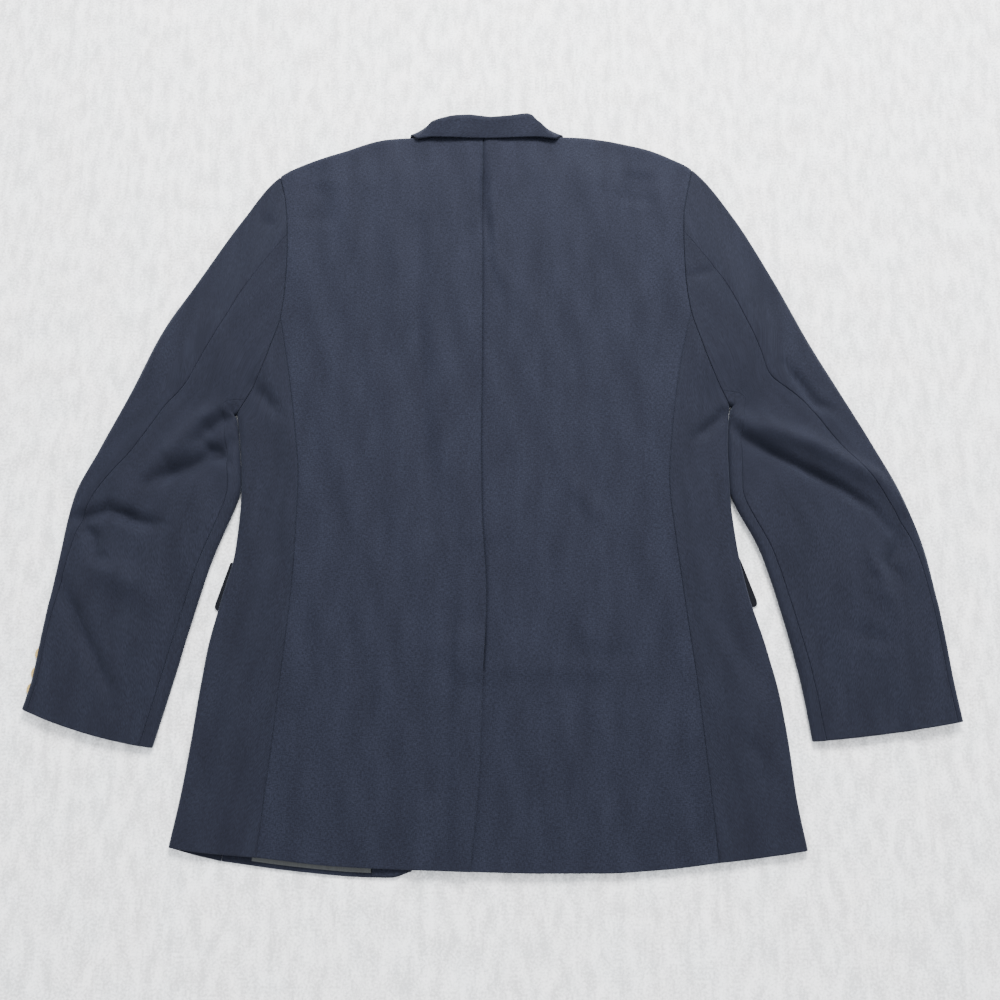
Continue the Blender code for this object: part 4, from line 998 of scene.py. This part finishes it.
def lapel_surface(side):
    """A lapel: rows by the share down the roll line, columns by the steps of its folded section."""
    roll, edge = ROLLS[side], LAPEL_EDGES[side]
    total = HOLES[side].length * FRONT_SHARE[side] + FRONT_SEAMS[side].length
    front = FRONT_EDGES[side](turn_over(front_rows(side), SHOULDER_RADIUS[side])[0] / total)
    upper = 2 * LAPEL_TURN

    def section_at(share):
        tip, leaf = roll(share), edge(share)
        aim = (leaf - tip) / np.linalg.norm(leaf - tip)
        leg = LAPEL_LEG
        for _ in range(LEG_TRIES):
            start = tip + aim * leg
            past = (start[0] - np.interp(start[1], front[:, 1], front[:, 0])) * OUTWARD[side]
            leg -= past + LAPEL_GAP
        start = tip + aim * leg
        ends = [np.append(start, upper), np.append(tip, LAPEL_TURN), np.append(leaf, 0.0)]
        return fold_section(*ends, LAPEL_TURN, LAPEL_STEPS)

    def surface(down, step):
        points = np.empty(down.shape + (3,))
        for place_at in np.ndindex(down.shape):
            section = section_at(down[place_at])
            at = np.clip(step[place_at], 0, len(section) - 1)
            points[place_at] = [np.interp(at, np.arange(len(section)), section[:, i]) for i in range(3)]
        height = points[..., 2] + (over_left(points[..., :2]) if side == "right" else 0)
        return to_world(points[..., :2], height)

    return surface


def strip_surface(strip):
    """A strip on the left front's inner face along its hem: rows run along it and columns up it, by share."""
    hem = Line(FRONT_HEM["left"][::-1])
    spots = hem.sampled(400)

    def surface(along, up):
        x = strip["outer_x"] + (strip["inner_x"] - strip["outer_x"]) * along
        down = np.interp(x, spots[:, 0], spots[:, 1]) - strip["margin"] - strip["height"] * up
        plan = np.stack([x, down], axis=-1)
        return to_world(plan, lower_height(plan, "left") + LIFT + strip["cloth"])

    return surface


# ---- fine shells of cloth

CELL = 3.3  # size of the fine mesh's cells
EDGE_STEPS = (0.3, 0.7, 1.2, 2.0)  # extra rows of points beside a piece's edges
EDGE_CLEAR = 0.15  # the even cells keep this share of the last extra row's distance away from it
EDGE_FITS = 0.7  # an extra row is made where it lies within this share of the outermost stretch
TINY = 1e-6
EDGE_ROUND = 1.0  # a piece's outer face rounds down into its edge over this distance
SEAM_ROUND = 1.4  # and into a sewn seam over this one
SEAM_FLAT = 0.25  # a seam's rounding starts at this share where it is pressed flat
SEAM_LAP = 0.03  # sewn pieces reach this far over each other
SLEEVE_SEAM_START = 130.0  # the sleeves' seams are pressed flat at the top, and show fully from here down
PRESSED = 0.16  # height of the ridge that a pressed-open seam allowance leaves
PRESSED_FLAT = 0.6  # and of the flat between ridge and seam, as a share of it
ALLOWANCE = 13.0  # how far from the seam the ridge lies
ALLOWANCE_WIDTH = 3.5
PUCKER = 0.14  # height of the puckers beside a seam
PUCKER_LENGTH = 11.0
PUCKER_PLACE = (3.0, 4.0)  # how far from the seam they lie, and how wide they are
PUCKER_SWING = (1.3, 17.0)  # how unevenly they come, and over what length
SEAM_RISE = {"pucker": 2.0, "allowance": 3.0, "ridge": 6.0}  # each starts from nothing over this distance
INSIDE_SHORT = 0.05  # a piece's inner face stays at least this high


def finer(count, lengths):
    """Places between the given ones, as fractions of their numbers: even cells, closer at both ends."""
    places = [0.0]
    for i in range(count - 1):
        steps = max(1, round(lengths[i] / CELL))
        places += [i + j / steps for j in range(1, steps + 1)]
    ends = [max(lengths[i], TINY) for i in (0, -1)]
    near, far = ([step / end for step in EDGE_STEPS if step < EDGE_FITS * end] for end in ends)
    start, stop = (EDGE_STEPS[-1] / end * (1 + EDGE_CLEAR) for end in ends)
    kept = [place for place in places if start < place < count - 1 - stop]
    return np.array(sorted([0.0, count - 1.0] + kept + near + [count - 1 - place for place in far]))


def between(grid, rows, columns):
    """A grid of numbers read at fractional rows and columns."""
    i = np.clip(rows.astype(int), 0, grid.shape[0] - 2)
    j = np.clip(columns.astype(int), 0, grid.shape[1] - 2)
    s, t = (rows - i)[:, None], (columns - j)[None, :]
    low = grid[np.ix_(i, j)] * (1 - t) + grid[np.ix_(i, j + 1)] * t
    high = grid[np.ix_(i + 1, j)] * (1 - t) + grid[np.ix_(i + 1, j + 1)] * t
    return low * (1 - s) + high * s


def normals_of(points):
    along, across = np.gradient(points, axis=0), np.gradient(points, axis=1)
    normal = np.cross(along, across)
    return normal / np.maximum(np.linalg.norm(normal, axis=-1), 1e-9)[..., None]


def run_of(points, axis):
    """The distance run along each row or column of points, from its start."""
    steps = np.linalg.norm(np.diff(points, axis=axis), axis=-1)
    pad = [(1, 0), (0, 0)] if axis == 0 else [(0, 0), (1, 0)]
    return np.pad(np.cumsum(steps, axis=axis), pad)


def lowered(gaps, down, across, seams, from_top):
    """How far a piece's outer face lies below its surface: rounded edges, pressed seams and their puckers.

    gaps holds the distance to each edge. seams names the sewn ones, and those at the sides show fully only
    from_top below the top.
    """
    lower = np.zeros(down.shape)
    for edge, gap in gaps.items():
        gap = np.maximum(gap, 0.0)
        sewn = edge in seams.split()
        radius = SEAM_ROUND if sewn else EDGE_ROUND
        if from_top and edge in ("near", "far"):
            radius = radius * (SEAM_FLAT + (1 - SEAM_FLAT) * ramp(down / from_top))
        short = np.maximum(radius - gap, 0.0)
        lower = np.maximum(lower, radius - np.sqrt(np.maximum(radius**2 - short**2, 0.0)))
        if sewn:
            along = across if edge in ("up", "down") else down
            swing = PUCKER_SWING[0] * np.sin(along / PUCKER_SWING[1])
            wave = np.sin(2 * math.pi * along / PUCKER_LENGTH + swing)
            beside = np.exp(-(((gap - PUCKER_PLACE[0]) / PUCKER_PLACE[1]) ** 2))
            lower -= PUCKER * wave * beside * ramp(gap / SEAM_RISE["pucker"])
            lower -= PRESSED * np.exp(-(((gap - ALLOWANCE) / ALLOWANCE_WIDTH) ** 2))
            within = ramp((ALLOWANCE - gap) / SEAM_RISE["ridge"]) * ramp(gap / SEAM_RISE["allowance"])
            lower -= PRESSED * PRESSED_FLAT * within
    return lower[..., None]


def shell(name, surface, rows, columns, facing, seams="", **settings):
    """A fine closed shell of cloth on a surface.

    seams names its sewn edges: up, down, near and far. The settings are its cloth's thickness, keep (which of
    its points are kept), plan_weave (whether the weave runs with the plan) and from_top (see lowered).
    """
    cloth, keep = settings.get("cloth", CLOTH), settings.get("keep")
    rows, columns = np.broadcast_arrays(np.asarray(rows, float), np.asarray(columns, float))
    coarse = surface(rows, columns)
    row_lengths = np.linalg.norm(np.diff(coarse, axis=0), axis=-1).max(axis=1)
    column_lengths = np.linalg.norm(np.diff(coarse, axis=1), axis=-1).max(axis=0)
    at_rows, at_columns = finer(len(rows), row_lengths), finer(rows.shape[1], column_lengths)
    rows, columns = between(rows, at_rows, at_columns), between(columns, at_rows, at_columns)
    outer = surface(rows, columns)
    normal = normals_of(outer)
    turned = bool(normal[len(rows) // 2, 0] @ np.array(facing, float) < 0)
    if turned:
        normal = -normal
    kept = keep(rows, columns) if keep else np.ones(rows.shape, bool)
    down, across = run_of(outer, 0), run_of(outer, 1)
    first = np.take_along_axis(across, kept.argmax(axis=1)[:, None], axis=1)
    gaps = {"up": down, "down": down[-1:] - down, "near": across - first, "far": across[:, -1:] - across}
    inner = outer - cloth * normal
    outer = outer - lowered(gaps, down, across, seams, settings.get("from_top", 0)) * normal
    outer[..., 2] = np.maximum(outer[..., 2], 0.0)
    inner[..., 2] = np.maximum(inner[..., 2], INSIDE_SHORT)
    weave = outer[..., :2] if settings.get("plan_weave", True) else np.stack([across, down], axis=-1)
    return sewn_mesh(name, outer, inner, weave, kept, turned)


def placed(name, data):
    made = bpy.data.objects.new(name, data)
    bpy.context.scene.collection.objects.link(made)
    return made


def woven(mesh, places):
    """Notes each point's place in the weave, in millimetres."""
    mesh.attributes.new("weave", "FLOAT_VECTOR", "POINT").data.foreach_set("vector", places.reshape(-1))


def sewn_mesh(name, outer, inner, weave, kept, turned):
    """A closed mesh between a grid of outer points and one of inner points, with the place in the weave.

    turned says that the grid's own faces look inwards. Only cells with four kept corners are made.
    """
    count = outer.shape[0] * outer.shape[1]
    number = np.arange(count).reshape(outer.shape[:2])
    cell = kept[:-1, :-1] & kept[1:, :-1] & kept[:-1, 1:] & kept[1:, 1:]
    a, b, c, d = number[:-1, :-1], number[1:, :-1], number[1:, 1:], number[:-1, 1:]
    upper = np.stack([a, b, c, d], axis=-1)[cell]
    sides = []
    room = np.pad(cell, 1)
    for first, second, beyond in (
        (a, b, room[1:-1, :-2]),
        (b, c, room[2:, 1:-1]),
        (c, d, room[1:-1, 2:]),
        (d, a, room[:-2, 1:-1]),
    ):
        edge = cell & ~beyond
        start, end = first[edge], second[edge]
        sides.append(np.stack([end, start, start + count, end + count], axis=-1))
    faces = np.concatenate([upper, upper[:, ::-1] + count] + sides)
    if turned:
        faces = faces[:, ::-1]
    used, faces = np.unique(faces, return_inverse=True)
    points = np.concatenate([outer.reshape(-1, 3), inner.reshape(-1, 3)])[used] * MM
    mesh = bpy.data.meshes.new(name)
    mesh.from_pydata(points, [], faces.reshape(-1, 4))
    places = np.zeros((len(used), 3))
    places[:, :2] = weave.reshape(-1, 2)[used % count]
    woven(mesh, places)
    mesh.shade_smooth()
    return placed(name, mesh)


# ---- materials

# How far up between its darkest and lightest the yarn noise is, and the navy there.
YARNS = (
    (0.36, (0.0053, 0.0062, 0.0116)),
    (0.64, (0.0119, 0.0138, 0.0242)),
    (0.50, (0.0084, 0.0097, 0.0176)),
)
MOTTLING = ((0.32, (0.84, 0.84, 0.86)), (0.68, (1.14, 1.14, 1.12)))  # broad lighter and darker streaks


def linked(material, output, name):
    """Links a node's output to one of the material's own inputs."""
    shader = material.node_tree.nodes["Principled BSDF"]
    material.node_tree.links.new(output, shader.inputs[name])


def material_of(name, **settings):
    """A material with some of its shader's inputs set, by their names with _ for each space."""
    material = bpy.data.materials.new(name)
    material.use_nodes = True
    shader = material.node_tree.nodes["Principled BSDF"]
    for key, value in settings.items():
        shader.inputs[key.replace("_", " ")].default_value = value
    return material


def node(material, kind, inputs=(), **settings):
    """A node with its settings, and its inputs set to values or linked to other nodes' outputs."""
    made = material.node_tree.nodes.new("ShaderNode" + kind)
    for key, value in settings.items():
        setattr(made, key, value)
    for key, value in inputs:
        if isinstance(value, bpy.types.NodeSocket):
            material.node_tree.links.new(value, made.inputs[key])
        else:
            made.inputs[key].default_value = value
    return made


def weave_of(material):
    return node(material, "Attribute", attribute_name="weave").outputs["Vector"]


def scaled(material, place, *scale):
    return node(material, "Mapping", [("Vector", place), ("Scale", scale)]).outputs[0]


def noise(material, place, scale, detail):
    inputs = [("Vector", place), ("Scale", scale), ("Detail", detail)]
    return node(material, "TexNoise", inputs).outputs["Fac"]


def maths(material, operation, first, second):
    return node(material, "Math", [(0, first), (1, second)], operation=operation).outputs[0]


def product(material, first, second):
    """Two colours multiplied."""
    inputs = [("Factor", 1.0), (6, first), (7, second)]
    return node(material, "Mix", inputs, data_type="RGBA", blend_type="MULTIPLY").outputs[2]


def bumped(material, height, strength, distance):
    inputs = [("Strength", strength), ("Distance", distance), ("Height", height)]
    linked(material, node(material, "Bump", inputs).outputs[0], "Normal")


def ramp_of(material, factor, stops):
    """A colour for each factor, from stops that each hold a place and a colour."""
    made = node(material, "ValToRGB", [("Fac", factor)])
    elements = made.color_ramp.elements
    for i, (at, colour) in enumerate(stops):
        element = elements[i] if i < 2 else elements.new(at)
        element.position = at
        element.color = (*colour, 1)
    return made.outputs["Color"]


def wool(name, depth):
    """A fine worsted hopsack: yarns over and under in pairs, each a slightly different navy.

    depth darkens its colour as painted shade: a little on pieces whose nap turns another way, and much on
    pieces that lie in shade.
    """
    material = material_of(
        name,
        Roughness=0.82,
        Specular_IOR_Level=0.12,
        Sheen_Weight=0.07,
        Sheen_Roughness=0.45,
        Sheen_Tint=(0.55, 0.62, 0.85, 1),
    )
    place = weave_of(material)
    warp, weft = scaled(material, place, 1.0, 0.3, 1.0), scaled(material, place, 0.35, 1.0, 1.0)
    yarns = maths(material, "ADD", noise(material, warp, 1.1, 1.0), noise(material, weft, 1.0, 1.0))
    stops = [(at, [depth * part for part in colour]) for at, colour in YARNS]
    navy = ramp_of(material, maths(material, "MULTIPLY", yarns, 0.5), stops)
    mottled = ramp_of(material, noise(material, warp, 0.05, 4.0), MOTTLING)
    linked(material, product(material, navy, mottled), "Base Color")
    bands = [("Vector", place), ("Scale", 0.42), ("Distortion", 1.4), ("Detail", 2.0)]
    across, along = (
        node(material, "TexWave", bands, bands_direction=axis).outputs["Fac"] for axis in ("X", "Y")
    )
    relief = maths(material, "ADD", maths(material, "MULTIPLY", across, along), yarns)
    bumped(material, relief, 0.35, 0.0003)
    return material


def satin():
    """The lining: a smooth grey satin with fine lengthways lines."""
    material = material_of("grey satin lining", Roughness=0.42)
    lines = noise(material, scaled(material, weave_of(material), 1.0, 0.05, 1.0), 1.2, 2.0)
    stops = [(0.3, (0.010, 0.0115, 0.012)), (0.7, (0.024, 0.027, 0.027))]
    linked(material, ramp_of(material, lines, stops), "Base Color")
    bumped(material, lines, 0.2, 0.0002)
    return material


def brass():
    """Plain gilt brass, a little worn where it is handled."""
    material = material_of("gilt brass", Metallic=1.0)
    place = node(material, "TexCoord").outputs["Object"]
    worn = noise(material, place, 700.0, 4.0)
    stops = [(0.35, (0.50, 0.33, 0.11)), (0.65, (0.70, 0.52, 0.22))]
    linked(material, ramp_of(material, worn, stops), "Base Color")
    rough = node(material, "MapRange", [("Value", worn), ("To Min", 0.20), ("To Max", 0.38)])
    linked(material, rough.outputs[0], "Roughness")
    return material


def pale_surface():
    """A pale felted cloth: fine specks and short brushed streaks, a little warm and cool by turns."""
    material = material_of("pale surface", Roughness=0.9, Specular_IOR_Level=0.2)
    place = node(material, "TexCoord").outputs["Object"]
    specks = noise(material, place, 420.0, 2.0)
    streaks = noise(material, scaled(material, place, 1.0, 0.35, 1.0), 95.0, 4.0)
    mixed = maths(material, "MULTIPLY", maths(material, "ADD", specks, streaks), 0.5)
    grey = ramp_of(material, mixed, [(0.40, (0.60, 0.60, 0.60)), (0.60, (0.99, 0.99, 0.99))])
    stops = [(0.35, (1.0, 0.985, 0.985)), (0.65, (0.975, 0.99, 1.0))]
    tint = ramp_of(material, noise(material, place, 22.0, 2.0), stops)
    linked(material, product(material, grey, tint), "Base Color")
    return material


WOOL = wool("navy worsted", 1.0)
# Darker copies of the wool, as painted shade: a little on the sleeves and side panels, and much on the flaps
# that lie in the body's shadow.
WOOL_PAINTED_SHADE = wool("navy worsted, painted shade", 0.88)
WOOL_SHADED = wool("navy worsted, shaded", 0.3)
SATIN, BRASS = satin(), brass()
CLOTH_OF = {"wool": WOOL, "lining": SATIN, "brass": BRASS}


# ---- the pieces


def take(piece, node_name, slot_name, cloth=None):
    """A piece stands for its solid, in its slot's finish."""
    piece.data.materials.append(cloth or CLOTH_OF[slot_name])
    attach(piece, "root")
    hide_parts(node_name)


def cloth_sleeve(side):
    surface, full = sleeve_surface(side)
    shares = np.linspace(0, 1, SLEEVE_ROWS + 1)
    for part in ("top", "under"):
        arcs = np.array([sleeve_stations(side, s, float(full(np.array(s))), part) for s in shares])
        arcs[:, 0] -= SEAM_LAP
        arcs[:, -1] += SEAM_LAP
        node_name = f"sleeve_{part}_{side}"
        settings = {"plan_weave": False, "from_top": SLEEVE_SEAM_START}
        piece = shell("cloth_" + node_name, surface, shares[:, None], arcs, UP, "up near far", **settings)
        take(piece, node_name, "wool", WOOL_PAINTED_SHADE)


def cloth_back(side):
    surface, drop, seam_length = back_surface(side)
    stations = STATIONS[side]["back"] + STATIONS[side]["under"][1 : SEAM_STATION + 1]
    inward = drop + seam_length * np.linspace(0, 1, PANEL_ROWS + 1)[1:]
    rows = np.array(stations + list(flat_to_arc(inward, SHOULDER_RADIUS[side])))
    neck = NECK_POINT_SHARE[side]
    columns = [-BACK_LAP] + [neck * share for share in NECK_COLUMNS]
    columns += [neck + (1 - neck) * share for share in PANEL_COLUMNS[1:]]
    columns[-1] += BACK_LAP
    keep = None
    if side == "right":
        columns = [-neck * share for share in NECK_COLUMNS[UNDERLAP_COLUMNS - 1 :: -1]] + columns
        vent_top = flat_to_arc(drop + seam_length * VENT_TOP_SHARE, SHOULDER_RADIUS[side])

        def keep(arc, across):
            """The underlap is there only below the vent's top."""
            return (across > -5 * BACK_LAP) | (arc >= vent_top - TINY)

    piece = shell("cloth_back_" + side, surface, rows[:, None], columns, UP, "near far", keep=keep)
    take(piece, "back_" + side, "wool")


def cloth_side(side):
    surface, width, fold = side_surface(side)
    stations = STATIONS[side]["full"] - np.array(STATIONS[side]["under"][SEAM_STATION:])
    flat_from = UNDERARM_RADIUS[side] * TURN
    start = (stations - flat_from) / (stations[0] - flat_from)
    even = np.linspace(1, 0, len(start) + 1)[:-1]
    downs = np.linspace(0, 1, SIDE_ROWS + 1)
    arcs = []
    for down in downs:
        radius = float(radius_at(fold(down)[1]))
        widths = [float(width(np.array(down), layer_sign)) for layer_sign in (1, -1)]
        reach, under = (flat_to_arc(wide, radius) for wide in widths)
        shares = start + (even - start) * ramp(down / HOLE_FADE)
        turn = np.array(quarter(radius))
        upper = turn[-1] + shares * (reach - turn[-1])
        row = np.concatenate([upper, turn[::-1], -turn[1:], [-under]])
        row[[0, -1]] += (SEAM_LAP, -SEAM_LAP)
        arcs.append(row)
    arcs = np.array(arcs)
    piece = shell("cloth_side_" + side, surface, downs[:, None], arcs, UP, "near far", plan_weave=False)
    take(piece, "side_" + side, "wool", WOOL_PAINTED_SHADE)


def cloth_front(side):
    columns = np.array(PANEL_COLUMNS)
    columns[-1] = FRONT_OUTER
    surface, rows = front_surface(side), front_rows(side)
    piece = shell("cloth_front_" + side, surface, rows[:, None], columns, DOWN, "far")
    take(piece, "front_" + side, "wool")


def cloth_lapel(side):
    shares = np.linspace(0, 1, LAPEL_ROWS + 1)
    steps = np.arange(sum(LAPEL_STEPS) + 1)
    piece = shell("cloth_lapel_" + side, lapel_surface(side), shares[:, None], steps, UP)
    take(piece, "lapel_" + side, "wool")


def pressed(points):
    """The collar's fall pressed flatter, and its folded top edge dipping and rising as in the photograph."""
    points = points.copy()
    x, down, height = points[..., 0] + MIDDLE_X, MIDDLE_DOWN - points[..., 1], points[..., 2]
    lower = COLLAR_FLAT + (height - COLLAR_FLAT) * COLLAR_PRESS
    points[..., 2] = np.where(height > COLLAR_FLAT, lower, height)
    points[..., 1] += np.interp(x, COLLAR_TOP["x"], COLLAR_TOP["lift"]) * ramp(-down / COLLAR_TOP_RUN)
    from_middle = ramp((np.abs(x) - COLLAR_STRAIGHT) / COLLAR_DRAWN_RUN)
    points[..., 0] -= np.sign(x) * COLLAR_DRAWN * from_middle * ramp((COLLAR_SIDES - down) / COLLAR_SIDES)
    return points


def cloth_collar():
    surface, reach = collar_surface()
    around = np.linspace(-reach, reach, 2 * reach * COLLAR_ROWS + 1)
    outer, inner = pressed(surface(around)), pressed(surface(around, COLLAR_CLOTH))
    weave = np.stack([run_of(outer, 0), run_of(outer, 1)], axis=-1)
    turned = bool((normals_of(outer) * (outer - inner)).sum() < 0)
    piece = sewn_mesh("cloth_collar", outer, inner, weave, np.ones(outer.shape[:2], bool), turned)
    take(piece, "collar", "wool")


def cloth_flap(side):
    """A flap: a flat plate with its two free corners rounded and its edges turned under."""
    inner_top, outer_top, outer_low, inner_low = np.array(FLAP[side], float)
    outline = [inner_top, outer_top]
    for before, corner, after in ((outer_top, outer_low, inner_low), (outer_low, inner_low, inner_top)):
        start = corner + (before - corner) / np.linalg.norm(before - corner) * FLAP_ROUNDING
        end = corner + (after - corner) / np.linalg.norm(after - corner) * FLAP_ROUNDING
        for t in np.linspace(0, 1, FLAP_CORNER_POINTS):
            outline.append((1 - t) ** 2 * start + 2 * t * (1 - t) * corner + t**2 * end)
    shape = bmesh.new()
    corners = [shape.verts.new(to_world(point, 0.0) * MM) for point in outline]
    plate = bmesh.ops.extrude_face_region(shape, geom=[shape.faces.new(corners)], use_keep_orig=True)
    moved = [item for item in plate["geom"] if isinstance(item, bmesh.types.BMVert)]
    bmesh.ops.translate(shape, verts=moved, vec=(0, 0, CLOTH * MM))
    bmesh.ops.recalc_face_normals(shape, faces=shape.faces[:])
    name = "cloth_flap_" + side
    mesh = bpy.data.meshes.new(name)
    shape.to_mesh(mesh)
    shape.free()
    woven(mesh, np.array([vert.co for vert in mesh.vertices]) / MM)
    piece = placed(name, mesh)
    rounded = piece.modifiers.new("Rounded edge", "BEVEL")
    rounded.width = FLAP_EDGE * MM
    rounded.segments = 3
    rounded.limit_method = "ANGLE"
    take(piece, "flap_" + side, "wool", WOOL_SHADED)


def cloth_strip(name, strip):
    along, up = np.linspace(0, 1, STRIP_ROWS + 1), np.linspace(0, 1, STRIP_COLUMNS + 1)
    piece = shell("cloth_" + name, strip_surface(strip), along[:, None], up, UP, cloth=strip["cloth"])
    take(piece, name, strip["finish"])


def metal_button(name, plan, radius, thickness):
    """A turned metal button lying on its face, with a rolled rim and a softly domed face."""
    mesh = bpy.data.meshes.new("metal_" + name)
    profile = zip(BUTTON_PROFILE["out"] * radius * MM, BUTTON_PROFILE["up"] * thickness * MM)
    points = [(out, 0, up) for out, up in profile]
    mesh.from_pydata(points, [(i, i + 1) for i in range(len(points) - 1)], [])
    piece = placed("metal_" + name, mesh)
    piece.location = to_world(np.array(plan, float), 0.0) * MM
    turn = piece.modifiers.new("Turned", "SCREW")
    turn.steps = BUTTON_SIDES
    turn.render_steps = BUTTON_SIDES
    turn.use_merge_vertices = True
    turn.merge_threshold = 0.01 * MM
    turn.use_normal_calculate = True
    turn.use_smooth_shade = True
    take(piece, name, "brass")


for side in SIDES:
    cloth_back(side)
    cloth_side(side)
    cloth_front(side)
    cloth_lapel(side)
    cloth_sleeve(side)
    cloth_flap(side)
    shown = CUFF_BUTTON_SHOWS if side == "left" else 0
    for i, (x, down) in enumerate(CUFF_BUTTONS[side]):
        place = (x - shown, down)
        metal_button(f"cuff_button_{side}_{i + 1}", place, CUFF_BUTTON_RADIUS, CUFF_BUTTON_THICKNESS)
cloth_collar()
cloth_strip("facing_left", FACING)
cloth_strip("lining_left", LINING)
for name, (x, down, radius, thickness) in zip(("upper", "lower"), zip(*BUTTONS.values())):
    metal_button("front_button_" + name, (x, down), radius, thickness)


# ---- floor, light and camera

FLOOR_SIZE = 8.0
FLOOR_DROP = 0.0004  # the floor lies this far below the blazer
SKY = (0.93, 0.96, 1.0, 1)
SKY_STRENGTH = 1.85
WINDOW_PLACE = (0.3, 1.4, 1.55)
WINDOW_SIZE = 0.8
WINDOW_POWER = 124
CAMERA_PLACE = (0.0079, -0.3337, 1.151)
CAMERA_TILT = 14.8  # degrees from straight down
CAMERA_LENS = 41.4
CAMERA_SENSOR = 36.0


def lay_floor():
    bpy.ops.mesh.primitive_plane_add(size=FLOOR_SIZE, location=(0, 0, -FLOOR_DROP))
    floor = bpy.context.object
    floor.name = "floor"
    floor.data.materials.append(pale_surface())


def light_it():
    """A soft, slightly cool sky and one window beyond the collar, which aims at the blazer."""
    world = bpy.data.worlds.new("soft light")
    bpy.context.scene.world = world
    world.use_nodes = True
    sky = world.node_tree.nodes["Background"]
    sky.inputs["Color"].default_value = SKY
    sky.inputs["Strength"].default_value = SKY_STRENGTH
    window = bpy.data.lights.new("window", "AREA")
    window.shape = "SQUARE"
    window.size = WINDOW_SIZE
    window.energy = WINDOW_POWER
    x, y, z = WINDOW_PLACE
    lamp = placed("window", window)
    lamp.location = WINDOW_PLACE
    lamp.rotation_euler = (math.atan2(math.hypot(x, y), z), 0, math.atan2(x, -y))


def set_camera():
    data = bpy.data.cameras.new("camera")
    data.lens = CAMERA_LENS
    data.sensor_width = CAMERA_SENSOR
    camera = placed("camera", data)
    camera.location = CAMERA_PLACE
    camera.rotation_euler = (math.radians(CAMERA_TILT), 0, 0)
    bpy.context.scene.camera = camera


lay_floor()
light_it()
set_camera()
